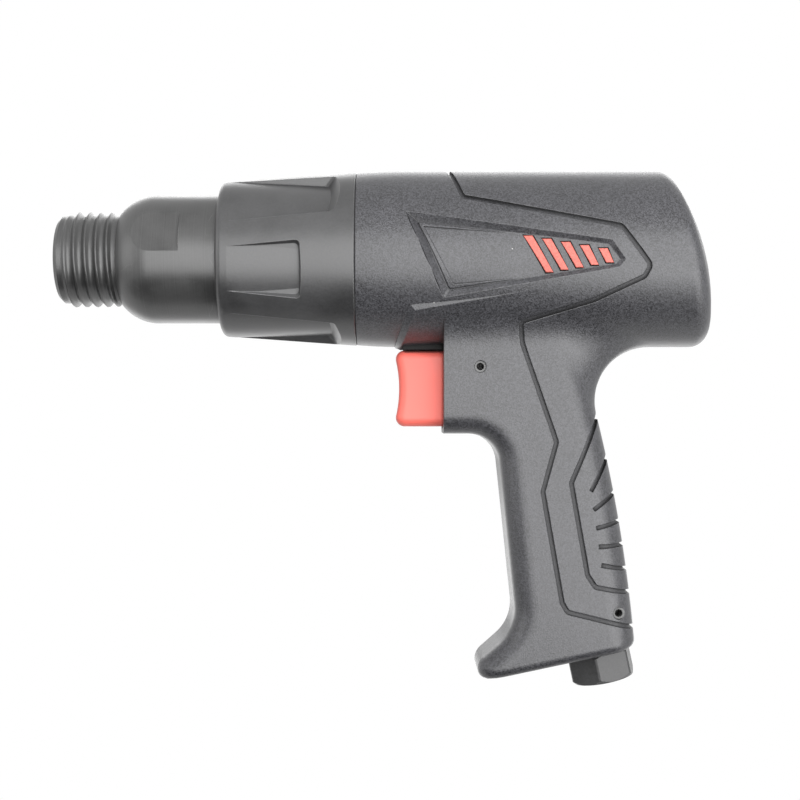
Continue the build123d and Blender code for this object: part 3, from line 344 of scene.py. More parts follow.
# %% Dust
dust_inputs = {"Spacing": 0.004, "Size": 0.06, "Share": 0.1}
dust, given, result = effect("Dust", dust_inputs, {"Mask": NUMBER})
place = put(dust, "ShaderNodeTexCoord").outputs["Object"]
cells = {"Vector": place, "Scale": calc(dust, "DIVIDE", 1.0, given["Spacing"]), "Randomness": 1.0}
specks = put(dust, "ShaderNodeTexVoronoi", cells)
round_speck = remap(dust, specks.outputs["Distance"], 0.0, given["Size"], 1.0, 0.0)
chance = put(dust, "ShaderNodeSeparateColor", {0: specks.outputs["Color"]}).outputs[0]
chosen = calc(dust, "LESS_THAN", chance, given["Share"])
feed(dust, result["Mask"], calc(dust, "MULTIPLY", round_speck, chosen))
print("effect:", dust.name)

# %% Grime and painted shade in the corners
GRIME_AND_SHADE_RANGE = (0.35, 0.9)

# An ambient-occlusion mask darkens corners, creases and recesses: grime and painted shade together.
grime_and_shade, given, result = effect("Corner grime and painted shade", {"Reach": 0.0015}, {"Mask": NUMBER})
near = {"Distance": given["Reach"]}
open_sky = put(grime_and_shade, "ShaderNodeAmbientOcclusion", near, samples=EFFECT_SAMPLES).outputs["AO"]
feed(grime_and_shade, result["Mask"], remap(grime_and_shade, open_sky, *GRIME_AND_SHADE_RANGE, 1.0, 0.0))
print("effect:", grime_and_shade.name)

# %% Turning marks
turning, given, result = effect("Turning marks", {"Spacing": 0.0004}, {"Height": NUMBER})
place = put(turning, "ShaderNodeTexCoord").outputs["Object"]
along = put(turning, "ShaderNodeSeparateXYZ", {0: place}).outputs["X"]
rings = {"W": along, "Scale": calc(turning, "DIVIDE", 1.0, given["Spacing"]), "Detail": 3.0}
rings = put(turning, "ShaderNodeTexNoise", rings, noise_dimensions="1D").outputs["Fac"]
feed(turning, result["Height"], rings)
print("effect:", turning.name)

# %% Parting line
parting, given, result = effect("Parting line", {"Width": 0.0003}, {"Height": NUMBER})
place = put(parting, "ShaderNodeTexCoord").outputs["Object"]
across = calc(parting, "ABSOLUTE", put(parting, "ShaderNodeSeparateXYZ", {0: place}).outputs["Y"])
feed(parting, result["Height"], remap(parting, across, 0.0, given["Width"], 1.0, 0.0))
print("effect:", parting.name)

# %% [markdown]
# ## One recipe for every finish
# Under the differences, all these surfaces are built alike: a base colour with slight tone changes,
# grime and painted shade in the corners, rubbed edges and scuffs (paler on most finishes, darker on the
# trigger as painted edge shade), some dust, a roughness that follows them, and fine relief measured in
# metres. One function lays that out with the shared effects, and a finish is then a list of values, as on
# a recipe card. What a card doesn't name is taken from the plain one.

# %% Finish recipe
GRIME_AND_SHADE_TONE = 0.2
GRIME_AND_SHADE_DULLING = 0.45
SCUFF_DEPTH = 0.4
RUB_GLOSS = -0.1
STREAK_RANGE = (0.3, 0.7)
DUST_COLOUR = (0.75, 0.74, 0.72, 1.0)
DUST_DULLING = 0.3
PARTING_RISE = 0.00006
PLAIN = {
    "metallic": 0.0, "specular": 0.5, "patchiness": 0.5, "scuffed": 0.2, "dusty": 0.04, "reach": 0.0015,
    "speckle": 0.0, "streaks": 0.0, "dulling": 0.08, "turned": 0.0, "parted": False,
}


def apply_effect(tree, group, **values):
    """Places a shared effect in a material with this material's own values."""
    made = put(tree, "ShaderNodeGroup", node_tree=group)
    for name, value in values.items():
        made.inputs[name].default_value = value
    return made.outputs


def finish(name, base, worn_and_shaded_edge, values):
    """A procedural material from a base colour, the colour of rubbed edges (a painted edge shade on the
    trigger), and a card of values.
    """
    values = {**PLAIN, **values}
    material = bpy.data.materials.new(name)
    material.use_nodes = True
    tree = material.node_tree
    shader = tree.nodes["Principled BSDF"]
    shader.inputs["Metallic"].default_value = values["metallic"]
    shader.inputs["Specular IOR Level"].default_value = values["specular"]

    relief = apply_effect(tree, grain, Size=values["grain"])
    edges = apply_effect(tree, edge_wear_and_shade, Radius=values["edge"], Patchiness=values["patchiness"])
    marks = apply_effect(tree, scuffs, Share=values["scuffed"])["Mask"]
    specks = apply_effect(tree, dust, Share=values["dusty"])["Mask"]
    # Occlusion mask: grime and painted shade in corners and recesses.
    dirt_and_shade = apply_effect(tree, grime_and_shade, Reach=values["reach"])["Mask"]

    darker = [channel * (1 - values["mottle"]) for channel in base]
    lighter = [channel * (1 + values["mottle"]) for channel in base]
    soiled_and_shaded = [channel * GRIME_AND_SHADE_TONE for channel in base]
    tone = calc(tree, "MULTIPLY", relief["Tone"], 1 - values["speckle"])
    tone = calc(tree, "MULTIPLY_ADD", relief["Speck"], values["speckle"], tone)
    rings = apply_effect(tree, turning)["Height"]
    streak = remap(tree, rings, *STREAK_RANGE, -1.0, 1.0, "LINEAR")
    tone = calc(tree, "MULTIPLY_ADD", streak, values["streaks"], tone)
    tone = remap(tree, tone, -1.0, 1.0, curve="LINEAR")
    colour = blend_colours(tree, tone, (*darker, 1.0), (*lighter, 1.0))
    worn_and_shaded = calc(tree, "MULTIPLY", marks, SCUFF_DEPTH)
    worn_and_shaded = calc(tree, "MAXIMUM", edges["Mask"], worn_and_shaded)
    # Edge colour: paler wear on most finishes; on the trigger a darker red, painted shade on its rounded
    # edges.
    colour = blend_colours(tree, worn_and_shaded, colour, (*worn_and_shaded_edge, 1.0))
    # Painted shade with grime: the colour darkens in corners and recesses by the occlusion mask.
    colour = blend_colours(tree, dirt_and_shade, colour, (*soiled_and_shaded, 1.0))
    colour = blend_colours(tree, specks, colour, DUST_COLOUR)
    feed(tree, shader.inputs["Base Color"], colour)

    gloss = calc(tree, "MULTIPLY_ADD", tone, values["dulling"], values["rough"])
    gloss = calc(tree, "MULTIPLY_ADD", dirt_and_shade, GRIME_AND_SHADE_DULLING, gloss)
    gloss = calc(tree, "MULTIPLY_ADD", worn_and_shaded, RUB_GLOSS, gloss)
    feed(tree, shader.inputs["Roughness"], calc(tree, "MULTIPLY_ADD", specks, DUST_DULLING, gloss))

    height = calc(tree, "MULTIPLY", relief["Height"], values["relief"])
    height = calc(tree, "MULTIPLY_ADD", rings, values["turned"], height)
    if values["parted"]:
        height = calc(tree, "MULTIPLY_ADD", apply_effect(tree, parting)["Height"], PARTING_RISE, height)
    bump = put(tree, "ShaderNodeBump", {"Height": height, "Distance": 1.0, "Normal": edges["Normal"]})
    feed(tree, shader.inputs["Normal"], bump.outputs["Normal"])
    return material


print("finish recipe ready")

# %% [markdown]
# ## The finishes
# The housing is glass-filled nylon from a spark-eroded mould: a dull charcoal with a fine, even grain.
# The sleeve is smoother, the barrel is blacked steel, the trigger a satin red. They are the same recipe
# with other values. Each row has the base colour, the colour of its rubbed edges, and its card. On the
# trigger that edge colour is a darker red, a painted shade on its rounded edges.

# %% Finishes
RECIPES = {
    "stippled_housing": (
        (0.04, 0.04, 0.044), (0.13, 0.13, 0.135),
        {"grain": 0.00034, "mottle": 0.62, "speckle": 0.92, "edge": 0.0004, "rough": 0.33, "dulling": 0.1,
         "relief": 0.00003, "specular": 0.64, "scuffed": 0.15, "dusty": 0.05, "reach": 0.002,
         "parted": True},
    ),
    "satin_sleeve": (
        (0.03, 0.03, 0.031), (0.3, 0.3, 0.305),
        {"grain": 0.0005, "mottle": 0.3, "speckle": 0.4, "edge": 0.0003, "patchiness": 0.2, "rough": 0.34,
         "relief": 0.000008, "specular": 0.88, "scuffed": 0.2},
    ),
    "blacked_steel": (
        (0.026, 0.026, 0.026), (0.3, 0.3, 0.3),
        {"grain": 0.0005, "mottle": 0.4, "speckle": 0.2, "edge": 0.0003, "rough": 0.32, "relief": 0.000006,
         "specular": 0.9, "scuffed": 0.3, "turned": 0.000006, "streaks": 0.6, "dusty": 0.05},
    ),
    # The trigger's darker edge red is painted shade on its rounded edges.
    "trigger_red": (
        (0.76, 0.14, 0.11), (0.62, 0.06, 0.05),
        {"grain": 0.0004, "mottle": 0.03, "edge": 0.0012, "patchiness": 0.0, "rough": 0.4,
         "relief": 0.000008, "dusty": 0.02, "parted": True},
    ),
    "bar_paint": (
        (0.5, 0.12, 0.095), (0.2, 0.07, 0.06),
        {"grain": 0.0005, "mottle": 0.25, "speckle": 0.8, "edge": 0.0003, "rough": 0.5, "relief": 0.00003},
    ),
    "inlet_steel": (
        (0.032, 0.032, 0.033), (0.2, 0.2, 0.2),
        {"grain": 0.0005, "mottle": 0.4, "speckle": 0.5, "edge": 0.0004, "rough": 0.42, "relief": 0.00001,
         "specular": 0.65, "scuffed": 0.3},
    ),
    "pin_steel": (
        (0.1, 0.1, 0.1), (0.3, 0.3, 0.3),
        {"grain": 0.0003, "mottle": 0.1, "edge": 0.0003, "rough": 0.4, "relief": 0.00001, "reach": 0.0004},
    ),
    "ground_steel": (
        (0.55, 0.55, 0.57), (0.7, 0.7, 0.7),
        {"grain": 0.0003, "mottle": 0.06, "edge": 0.0003, "rough": 0.25, "relief": 0.000005,
         "metallic": 1.0, "turned": 0.000003},
    ),
    "turned_aluminium": (
        (0.7, 0.7, 0.72), (0.8, 0.8, 0.8),
        {"grain": 0.0003, "mottle": 0.05, "edge": 0.0003, "rough": 0.35, "relief": 0.000006,
         "metallic": 1.0, "turned": 0.000006},
    ),
    "turned_brass": (
        (0.78, 0.57, 0.25), (0.85, 0.68, 0.4),
        {"grain": 0.0003, "mottle": 0.06, "edge": 0.0003, "rough": 0.3, "relief": 0.000006,
         "metallic": 1.0, "turned": 0.000005},
    ),
    "seal_rubber": (
        (0.014, 0.014, 0.014), (0.04, 0.04, 0.04),
        {"grain": 0.0004, "mottle": 0.15, "edge": 0.0003, "rough": 0.7, "relief": 0.00002, "specular": 0.2},
    ),
}
FINISHES = {name: finish(name, *recipe) for name, recipe in RECIPES.items()}
print(len(FINISHES), "finishes")

# %% Dress the solids
DRESS = {
    "stippled_housing": ["housing"],
    "satin_sleeve": ["front_sleeve"],
    "blacked_steel": ["barrel"],
    "inlet_steel": ["inlet_bushing"],
    "trigger_red": ["trigger"],
    "pin_steel": ["trigger_pin", "inlet_pin"],
    "ground_steel": [
        "piston", "valve_front_plate", "valve_rear_plate", "valve_disc", "valve_dowels",
        "throttle_stem", "throttle_spring", "inlet_screen",
    ],
    "turned_aluminium": ["head_insert"],
    "turned_brass": ["throttle_bush"],
    "seal_rubber": [
        "sleeve_gasket", "barrel_seal", "bush_seal", "inlet_seal", "throttle_seal", "rear_buffer",
    ],
}
for name, dressed in DRESS.items():
    for node in dressed:
        nodes[node].material_slots[0].material = FINISHES[name]
    print(name, "on", ", ".join(dressed))

# %% [markdown]
# ## Shapes that follow a rule
# A screw thread, a coil spring and a row of bars are each one short rule repeated: so much along for
# so much around. They could be modelled vertex by vertex, but a Geometry Nodes tree states the rule
# itself, with named inputs for the sizes. Each tree is run once and its result kept as a plain mesh.

# %% Helpers for rule-made shapes
SOCKET_KINDS = {float: "NodeSocketFloat", int: "NodeSocketInt", tuple: "NodeSocketVector"}
MERGE_DISTANCE = 0.000001
SHARP_DEGREES = 14


def shape_tree(name, inputs):
    """A Geometry Nodes tree with its named inputs, and the sockets to read from and write to."""
    tree = bpy.data.node_groups.new(name, "GeometryNodeTree")
    tree.interface.new_socket("Geometry", in_out="OUTPUT", socket_type="NodeSocketGeometry")
    tree.interface.new_socket("Finish", in_out="INPUT", socket_type="NodeSocketMaterial")
    for label, default in inputs.items():
        kind = SOCKET_KINDS[type(default)]
        socket = tree.interface.new_socket(label, in_out="INPUT", socket_type=kind)
        socket.default_value = default
    given = tree.nodes.new("NodeGroupInput").outputs
    result = tree.nodes.new("NodeGroupOutput").inputs
    return tree, given, result


def end_tree(tree, given, result, shape):
    """Ends a tree: smooth shading, real geometry in place of instances, and the finish."""
    smooth = put(tree, "GeometryNodeSetShadeSmooth", {"Geometry": shape}).outputs[0]
    real = put(tree, "GeometryNodeRealizeInstances", {"Geometry": smooth}).outputs[0]
    dressed = put(tree, "GeometryNodeSetMaterial", {"Geometry": real, "Material": given["Finish"]})
    feed(tree, result["Geometry"], dressed.outputs[0])


def grow(name, tree, values):
    """Runs a tree with these values and keeps its result as a plain mesh."""
    piece = bpy.data.objects.new(name, bpy.data.meshes.new(name))
    bpy.context.collection.objects.link(piece)
    modifier = piece.modifiers.new(name, "NODES")
    modifier.node_group = tree
    for item in tree.interface.items_tree:
        if item.in_out == "INPUT" and item.name in values:
            modifier[item.identifier] = values[item.name]
    grown = piece.evaluated_get(bpy.context.evaluated_depsgraph_get())
    mesh = bpy.data.meshes.new_from_object(grown)
    piece.modifiers.clear()
    piece.data = mesh
    print(name, "has", len(mesh.polygons), "faces")
    return piece


def copy_without(node, name, dropped):
    """A merged copy of a solid, without the faces whose middles a rule drops."""
    mesh = nodes[node].data.copy()
    work = bmesh.new()
    work.from_mesh(mesh)
    bmesh.ops.remove_doubles(work, verts=work.verts, dist=MERGE_DISTANCE)
    gone = [face for face in work.faces if dropped(face.calc_center_median())]
    bmesh.ops.delete(work, geom=gone, context="FACES")
    work.to_mesh(mesh)
    work.free()
    mesh.attributes.remove(mesh.attributes["custom_normal"])
    mesh.shade_smooth()
    mesh.set_sharp_from_angle(angle=math.radians(SHARP_DEGREES))
    piece = bpy.data.objects.new(name, mesh)
    bpy.context.collection.objects.link(piece)
    print(name, "is", node, "without", len(gone), "faces")
    return piece


print("sockets for", len(SOCKET_KINDS), "kinds of input")

# %% [markdown]
# ## The thread rule
# A thread is a ridge that moves along by one pitch for every turn. On a grid rolled up into a tube,
# the ridge's height is a wave of the distance along, in pitches, less the angle around, in turns. The
# wave's top is cut short, so that the crests are narrow and the roots rounded. The same rule with a
# negative height gives the thread inside a hole.

# %% Thread tree
TURN = 2 * math.pi
ROOT_START = 0.46
CREST_PEAK = -0.2

thread_tree, given, result = shape_tree("Screw thread", {
    "Start": 0.0, "Length": 0.015, "Start radius": 0.014, "End radius": 0.014, "Crest height": 0.0017,
    "End height": 0.0, "Pitch": 0.0035, "Phase": 0.0, "Lead-in": 0.002, "Run-out": 0.001,
    "Winding": -1.0, "Rings": 90, "Spokes": 120, "Place": (0.0, 0.0, 0.0), "Lean": (0.0, 0.0, 0.0),
})
sheet = {"Size X": 1.0, "Size Y": 1.0, "Vertices X": given["Rings"], "Vertices Y": given["Spokes"]}
grid = put(thread_tree, "GeometryNodeMeshGrid", sheet).outputs["Mesh"]
spot = put(thread_tree, "GeometryNodeInputPosition").outputs[0]
spot = put(thread_tree, "ShaderNodeSeparateXYZ", {0: spot}).outputs
part = calc(thread_tree, "ADD", spot["X"], 0.5)
around = calc(thread_tree, "MULTIPLY", calc(thread_tree, "ADD", spot["Y"], 0.5), given["Winding"])
x = calc(thread_tree, "MULTIPLY_ADD", part, given["Length"], given["Start"])
pitches = calc(thread_tree, "DIVIDE", calc(thread_tree, "SUBTRACT", x, given["Phase"]), given["Pitch"])
from_crest = calc(thread_tree, "PINGPONG", calc(thread_tree, "SUBTRACT", pitches, around), 0.5)
ridge = remap(thread_tree, from_crest, ROOT_START, CREST_PEAK, 0.0, 1.0)
from_start = calc(thread_tree, "MULTIPLY", part, given["Length"])
from_end = calc(thread_tree, "SUBTRACT", given["Length"], from_start)
full = remap(thread_tree, from_start, 0.0, given["Lead-in"])
full = calc(thread_tree, "MULTIPLY", full, remap(thread_tree, from_end, 0.0, given["Run-out"]))
share = calc(thread_tree, "SUBTRACT", ridge, given["End height"])
share = calc(thread_tree, "MULTIPLY_ADD", share, full, given["End height"])
root = remap(thread_tree, part, 0.0, 1.0, given["Start radius"], given["End radius"], "LINEAR")
radius = calc(thread_tree, "MULTIPLY_ADD", share, given["Crest height"], root)
angle = calc(thread_tree, "MULTIPLY", around, TURN)
to_camera = calc(thread_tree, "MULTIPLY", radius, -1.0)
y = calc(thread_tree, "MULTIPLY", calc(thread_tree, "COSINE", angle), to_camera)
z = calc(thread_tree, "MULTIPLY", calc(thread_tree, "SINE", angle), to_camera)
target = put(thread_tree, "ShaderNodeCombineXYZ", {"X": x, "Y": y, "Z": z}).outputs[0]
tube = put(thread_tree, "GeometryNodeSetPosition", {"Geometry": grid, "Position": target}).outputs[0]
seam = {"Geometry": tube, "Distance": MERGE_DISTANCE}
tube = put(thread_tree, "GeometryNodeMergeByDistance", seam).outputs[0]
placing = {"Geometry": tube, "Translation": given["Place"], "Rotation": given["Lean"]}
end_tree(thread_tree, given, result, put(thread_tree, "GeometryNodeTransform", placing).outputs[0])
print("tree:", thread_tree.name)

# %% [markdown]
# ## The nose and its retainer thread
# The retainer that holds the chisel screws onto the barrel's nose, on a coarse right-hand thread with
# rounded roots. The solid has only the plain band that the thread is cut from. So a copy of the barrel
# loses that band, and the threaded tube takes its place.

# %% Nose thread
LEAD_START = 0.0024
THREAD_START = 0.0038
THREAD_END = 0.0191
PILOT_RADIUS = 0.0141
NECK_RADIUS = 0.014
BAND_RADIUS = 0.0142
NOSE_PITCH = 0.00345
NOSE_PHASE = 0.00705
CREST_HEIGHT = 0.0017
TUBE_CLEARANCE = 0.00002
FACE_SLACK = 0.00001


def in_thread_band(middle):
    """Whether a face belongs to the plain band that the nose thread replaces."""
    inside = THREAD_START - FACE_SLACK < middle.x < THREAD_END + FACE_SLACK
    return inside and math.hypot(middle.y, middle.z) > BAND_RADIUS


barrel_body = copy_without("barrel", "barrel_body", in_thread_band)
nose_thread = grow("nose_thread", thread_tree, {
    "Start": LEAD_START, "Length": THREAD_END - LEAD_START, "End radius": NECK_RADIUS,
    "Start radius": PILOT_RADIUS - TUBE_CLEARANCE, "Crest height": CREST_HEIGHT, "Pitch": NOSE_PITCH,
    "Phase": NOSE_PHASE, "Lead-in": 0.002, "Run-out": 0.001, "Finish": FINISHES["blacked_steel"],
})
for piece in (barrel_body, nose_thread):
    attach(piece, "body")
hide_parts("barrel")

# %% [markdown]
# ## The thread in the air inlet
# The hose fitting screws into the bushing at the foot of the grip. That hole is a fine pipe thread,
# and it shows from below. The same tree makes it: the roots lie outside the drilled hole, the crests
# reach inwards to it, and the tube leans with the foot.

# %% Inlet thread
INLET_PITCH = 0.00141
INLET_ROOT = 0.0064
HOLE_SLACK = 0.0002

inlet = mounts["air_inlet"]
inlet_at = inlet["pos_m"]
inwards = [-part for part in inlet["axis"]]
hole_radius = inlet["dims"]["r_mm"] / 1000
hole_length = inlet["dims"]["length_mm"] / 1000


def in_inlet_hole(middle):
    """Whether a face belongs to the plain hole that the inlet thread replaces."""
    offset = [here - there for here, there in zip(middle, inlet_at)]
    depth = sum(a * b for a, b in zip(offset, inwards))
    radius = math.sqrt(sum(part**2 for part in offset) - depth**2)
    inside = FACE_SLACK < depth < hole_length - FACE_SLACK
    return inside and abs(radius - hole_radius) < HOLE_SLACK


inlet_body = copy_without("inlet_bushing", "inlet_body", in_inlet_hole)
inlet_thread = grow("inlet_thread", thread_tree, {
    "Length": hole_length, "Start radius": INLET_ROOT, "End radius": INLET_ROOT,
    "Crest height": hole_radius - INLET_ROOT, "End height": 1.0, "Pitch": INLET_PITCH,
    "Lead-in": 0.001, "Run-out": 0.001, "Winding": 1.0, "Rings": 130, "Spokes": 64,
    "Place": inlet_at, "Lean": (0.0, math.atan2(-inwards[2], inwards[0]), 0.0),
    "Finish": FINISHES["inlet_steel"],
})
for piece in (inlet_body, inlet_thread):
    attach(piece, "body")
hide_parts("inlet_bushing")

# %% [markdown]
# ## The red bars on the panel
# Five painted bars lie on the side panel, each shorter and steeper than the one before. One box is
# instanced five times, each instance carries its number, and the rule moves its corners to the bar's
# place on the panel's cone, with the outer edges rounded off. The same rule with wider and thinner bars
# draws a dark outline around them, a painted shade for the rim of their recess. Both lie over the
# solid's shallow beds, which are narrower than the paint.

# %% Bar tree
SEAM_X = 0.0957
PANEL_RADIUS = 0.02585
PANEL_RISE = 0.01764
BAR_ENDS = (
    ("Top along", "Top pitch"), ("Low along", "Low pitch"),
    ("Top height", "Top fall"), ("Low height", "Low rise"),
)

bar_tree, given, result = shape_tree("Panel bars", {
    "Count": 5, "Seam": SEAM_X, "Panel radius": PANEL_RADIUS, "Panel rise": PANEL_RISE,
    "Top along": 0.0531, "Top pitch": 0.00573, "Top height": 0.0049, "Top fall": -0.001,
    "Low along": 0.0599, "Low pitch": 0.00458, "Low height": -0.0065, "Low rise": 0.00075,
    "Top width": 0.0029, "Low width": 0.0024, "Lift": 0.00005, "Proud": 0.0002, "Edge": 0.00012,
})
row = put(bar_tree, "GeometryNodeMeshLine", {"Count": given["Count"], "Offset": (0.0, 0.0, 0.0)}).outputs[0]
block = {"Size": (1.0, 1.0, 1.0), "Vertices X": 13, "Vertices Y": 3, "Vertices Z": 41}
block = put(bar_tree, "GeometryNodeMeshCube", block).outputs["Mesh"]
bars = put(bar_tree, "GeometryNodeInstanceOnPoints", {"Points": row, "Instance": block}).outputs[0]
number = put(bar_tree, "GeometryNodeInputIndex").outputs[0]
bars = put(
    bar_tree, "GeometryNodeStoreNamedAttribute", {"Geometry": bars, "Name": "bar", "Value": number},
    data_type="FLOAT", domain="INSTANCE",
).outputs[0]
bars = put(bar_tree, "GeometryNodeRealizeInstances", {"Geometry": bars}).outputs[0]
number = put(bar_tree, "GeometryNodeInputNamedAttribute", {"Name": "bar"}, data_type="FLOAT").outputs[0]
spot = put(bar_tree, "GeometryNodeInputPosition").outputs[0]
spot = put(bar_tree, "ShaderNodeSeparateXYZ", {0: spot}).outputs
down = calc(bar_tree, "SUBTRACT", 0.5, spot["Z"])
ends = [calc(bar_tree, "MULTIPLY_ADD", number, given[step], given[first]) for first, step in BAR_ENDS]
top_along, low_along, top_height, low_height = ends
lean = calc(bar_tree, "SUBTRACT", low_along, top_along)
fall = calc(bar_tree, "SUBTRACT", low_height, top_height)
width = remap(bar_tree, down, 0.0, 1.0, given["Top width"], given["Low width"], "LINEAR")
along = calc(bar_tree, "MULTIPLY_ADD", down, lean, top_along)
along = calc(bar_tree, "MULTIPLY_ADD", spot["X"], width, along)
z = calc(bar_tree, "MULTIPLY_ADD", down, fall, top_height)
side_room = calc(bar_tree, "SUBTRACT", 0.5, calc(bar_tree, "ABSOLUTE", spot["X"]))
side_room = calc(bar_tree, "MULTIPLY", side_room, width)
end_room = calc(bar_tree, "SUBTRACT", 0.5, calc(bar_tree, "ABSOLUTE", spot["Z"]))
end_room = calc(bar_tree, "MULTIPLY", end_room, calc(bar_tree, "ABSOLUTE", fall))
room = calc(bar_tree, "MINIMUM", side_room, end_room)
drop = remap(bar_tree, room, 0.0, given["Edge"], given["Edge"], 0.0)
outer = calc(bar_tree, "SUBTRACT", 0.5, spot["Y"])
thick = calc(bar_tree, "SUBTRACT", calc(bar_tree, "SUBTRACT", given["Proud"], given["Lift"]), drop)
lift = calc(bar_tree, "MULTIPLY_ADD", outer, thick, given["Lift"])
radius = calc(bar_tree, "MULTIPLY_ADD", along, given["Panel rise"], given["Panel radius"])
radius = calc(bar_tree, "ADD", radius, lift)
square = calc(bar_tree, "SUBTRACT", calc(bar_tree, "POWER", radius, 2.0), calc(bar_tree, "POWER", z, 2.0))
y = calc(bar_tree, "MULTIPLY", calc(bar_tree, "SQRT", square), -1.0)
x = calc(bar_tree, "ADD", along, given["Seam"])
target = put(bar_tree, "ShaderNodeCombineXYZ", {"X": x, "Y": y, "Z": z}).outputs[0]
bars = put(bar_tree, "GeometryNodeSetPosition", {"Geometry": bars, "Position": target}).outputs[0]
end_tree(bar_tree, given, result, bars)
print("tree:", bar_tree.name)

# %% Bars
panel_bars = grow("panel_bars", bar_tree, {"Finish": FINISHES["bar_paint"]})
# The dark outlines are painted shade: the shadowed rim of each bar's recess.
bar_shade_outlines = grow("bar_shade_outlines", bar_tree, {
    "Top height": 0.0052, "Top width": 0.0034, "Low height": -0.0068, "Low width": 0.0028,
    "Lift": 0.00001, "Proud": 0.00004, "Edge": 0.00001, "Finish": FINISHES["seal_rubber"],
})
for piece, slot in ((panel_bars, "red_plastic"), (bar_shade_outlines, "housing_plastic")):
    work = bmesh.new()
    work.from_mesh(piece.data)
    bmesh.ops.recalc_face_normals(work, faces=work.faces)
    work.to_mesh(piece.data)
    work.free()
    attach(piece, "body")

# %% [markdown]
# ## The walls and the band of the panel
# Inside its sloped walls the panel has a crease and a low flat band, which show in the photograph as
# two thin lines along the edge. Towards the bars the band narrows to nothing. The solid's walls are cut
# in straight pieces, so a thin skin draws them evenly: three outlines of the side view are laid on the
# tube and on the panel's cone, and strips join them. Each outline has its corners in millimetres behind
# the housing's front and above the axis.

# %% Panel skin
PANEL_RIM = [
    (15.7, 12.5), (48.0, 7.84), (78.8, 3.4), (82.9, -2.5), (81.1, -4.7), (52.0, -9.75), (27.5, -14.0),
]
PANEL_FOOT = [
    (19.3, 9.4), (48.0, 5.95), (77.8, 2.2), (81.5, -2.4), (80.3, -3.8), (52.0, -8.2), (28.9, -11.6),
]
BAND_EDGE = [
    (21.2, 7.9), (48.0, 5.75), (77.7, 2.1), (81.4, -2.4), (80.2, -3.7), (52.0, -8.0), (30.4, -10.0),
]
HOUSING_RADIUS = 0.0283
SKIN_LIFT = 0.00003
BAND_LIFT = 0.0004
BAND_WIDTH = 0.0015
BAND_STEP = 0.0002
BAND_RAMP = 1.3
CREASE_WIDTH = 0.0004
CREASE_SHARE = 0.4
SKIN_PARTS = 200


def panel_spot(outline, part):
    """A place along a closed outline of the side view, in metres."""
    index, share = divmod(part * len(outline), 1)
    first = outline[int(index)]
    second = outline[(int(index) + 1) % len(outline)]
    return [(a + (b - a) * share) / 1000 for a, b in zip(first, second)]


def on_radius(spot, radius):
    """A point of the side view laid on a radius, on the side that the camera sees."""
    along, height = spot
    return (SEAM_X + along, -math.sqrt(radius**2 - height**2), height)


def skin_row(part):
    """The points across the skin: rim, foot, crease, and the raised band with its inner step."""
    rim, foot, edge = [panel_spot(outline, part) for outline in (PANEL_RIM, PANEL_FOOT, BAND_EDGE)]
    foot_radius = PANEL_RADIUS + PANEL_RISE * foot[0]
    edge_radius = PANEL_RADIUS + PANEL_RISE * edge[0]
    width = math.dist(edge, foot)
    lift = BAND_LIFT * min(1.0, width / BAND_WIDTH)
    crease = min(CREASE_WIDTH / width, CREASE_SHARE)
    crease_end = [a + (b - a) * crease for a, b in zip(foot, edge)]
    band_start = [a + (b - a) * crease * BAND_RAMP for a, b in zip(foot, edge)]
    inner = [a + (a - b) * BAND_STEP / width for a, b in zip(edge, foot)]
    return [
        on_radius(rim, HOUSING_RADIUS - SKIN_LIFT / 2),
        on_radius(foot, foot_radius + SKIN_LIFT),
        on_radius(crease_end, foot_radius + SKIN_LIFT),
        on_radius(band_start, foot_radius + lift),
        on_radius(edge, edge_radius + lift),
        on_radius(inner, edge_radius - SKIN_LIFT),
    ]


skin_mesh = bpy.data.meshes.new("panel_skin")
work = bmesh.new()
rows = [[work.verts.new(at) for at in skin_row(step / SKIN_PARTS)] for step in range(SKIN_PARTS)]
for row, after in zip(rows, rows[1:] + rows[:1]):
    for index in range(len(row) - 1):
        work.faces.new((row[index], row[index + 1], after[index + 1], after[index]))
work.normal_update()
work.to_mesh(skin_mesh)
work.free()
skin_mesh.materials.append(FINISHES["stippled_housing"])
panel_skin = bpy.data.objects.new("panel_skin", skin_mesh)
bpy.context.collection.objects.link(panel_skin)
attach(panel_skin, "body")
print("panel skin has", len(skin_mesh.polygons), "faces")

# %% [markdown]
# ## The painted shade above the trigger
# Between the tube and the trigger's top there shows a black line, the shade in a narrow slit. A thin
# black strip on each side paints that shade. The housing could carry it, but it is another material,
# so it is a piece of its own, placed from the trigger's box.

# %% Trigger shade strips
SHADE_STRIP_START = 0.1107
SHADE_STRIP_LENGTH = 0.0127
SHADE_STRIP_THICKNESS = 0.0002
SHADE_STRIP_HEIGHT = 0.0017
SHADE_STRIP_CLEARANCE = 0.0003

low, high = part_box("trigger")
# Two thin black strips paint the shade in the slit above the trigger.
shade_strip_mesh = bpy.data.meshes.new("trigger_shade_strips")
work = bmesh.new()
for side_y in (low.y, high.y):
    corners = bmesh.ops.create_cube(work, size=1.0)["verts"]
    bmesh.ops.scale(work, verts=corners, vec=(SHADE_STRIP_LENGTH, 2 * SHADE_STRIP_THICKNESS, SHADE_STRIP_HEIGHT))
    shade_strip_at = (SHADE_STRIP_START + SHADE_STRIP_LENGTH / 2, side_y, high.z + SHADE_STRIP_CLEARANCE + SHADE_STRIP_HEIGHT / 2)
    bmesh.ops.translate(work, verts=corners, vec=shade_strip_at)
work.to_mesh(shade_strip_mesh)
work.free()
shade_strip_mesh.materials.append(FINISHES["seal_rubber"])
trigger_shade_strips = bpy.data.objects.new("trigger_shade_strips", shade_strip_mesh)
bpy.context.collection.objects.link(trigger_shade_strips)
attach(trigger_shade_strips, "body")
print("painted shade strips above the trigger at", round(high.z, 4))

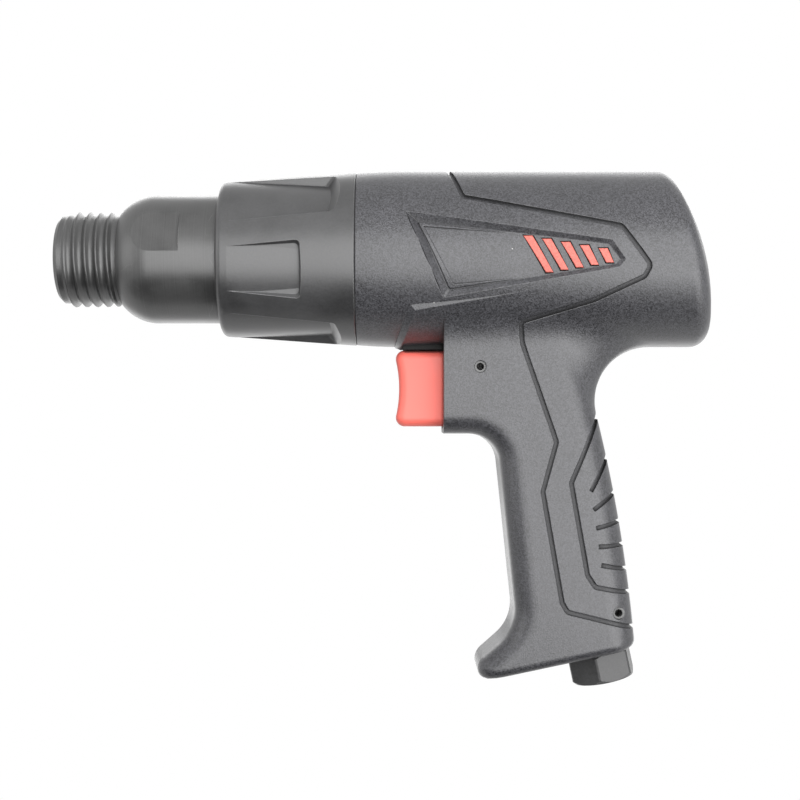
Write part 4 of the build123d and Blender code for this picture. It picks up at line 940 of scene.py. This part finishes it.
# %% [markdown]
# ## The trigger's return spring
# Behind the throttle stem a coil spring pushes the trigger out again. It is wound wire with flattened
# end turns: a line whose points go around while they go along, with no advance in the first and last
# half turn. A round profile follows it.

# %% Spring tree
spring_tree, given, result = shape_tree("Coil spring", {
    "Length": 0.0103, "Coil radius": 0.0034, "Wire radius": 0.00045, "Turns": 5.0, "Closed turns": 0.5,
    "Steps": 180, "Sides": 12, "Place": (0.0, 0.0, 0.0),
})
line = put(spring_tree, "GeometryNodeCurvePrimitiveLine").outputs[0]
line = put(spring_tree, "GeometryNodeResampleCurve", {"Curve": line, "Count": given["Steps"]}).outputs[0]
part = put(spring_tree, "GeometryNodeSplineParameter").outputs["Factor"]
closed = calc(spring_tree, "DIVIDE", given["Closed turns"], given["Turns"])
rise = remap(spring_tree, part, closed, calc(spring_tree, "SUBTRACT", 1.0, closed), curve="LINEAR")
span = calc(spring_tree, "MULTIPLY_ADD", given["Wire radius"], -2.0, given["Length"])
x = calc(spring_tree, "MULTIPLY_ADD", rise, span, given["Wire radius"])
angle = calc(spring_tree, "MULTIPLY", calc(spring_tree, "MULTIPLY", part, given["Turns"]), TURN)
y = calc(spring_tree, "MULTIPLY", calc(spring_tree, "COSINE", angle), given["Coil radius"])
z = calc(spring_tree, "MULTIPLY", calc(spring_tree, "SINE", angle), given["Coil radius"])
target = put(spring_tree, "ShaderNodeCombineXYZ", {"X": x, "Y": y, "Z": z}).outputs[0]
line = put(spring_tree, "GeometryNodeSetPosition", {"Geometry": line, "Position": target}).outputs[0]
wire = {"Resolution": given["Sides"], "Radius": given["Wire radius"]}
wire = put(spring_tree, "GeometryNodeCurvePrimitiveCircle", wire).outputs[0]
coil = {"Curve": line, "Profile Curve": wire, "Fill Caps": True}
coil = put(spring_tree, "GeometryNodeCurveToMesh", coil).outputs[0]
placing = {"Geometry": coil, "Translation": given["Place"]}
end_tree(spring_tree, given, result, put(spring_tree, "GeometryNodeTransform", placing).outputs[0])
print("tree:", spring_tree.name)

# %% Spring
low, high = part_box("throttle_spring")
spring_length = high.x - low.x
axis_y = (low.y + high.y) / 2
axis_z = (low.z + high.z) / 2
return_spring = grow("return_spring", spring_tree, {
    "Length": spring_length, "Place": (low.x, axis_y, axis_z), "Finish": FINISHES["ground_steel"],
})
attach(return_spring, "body")
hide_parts("throttle_spring")
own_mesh(return_spring)
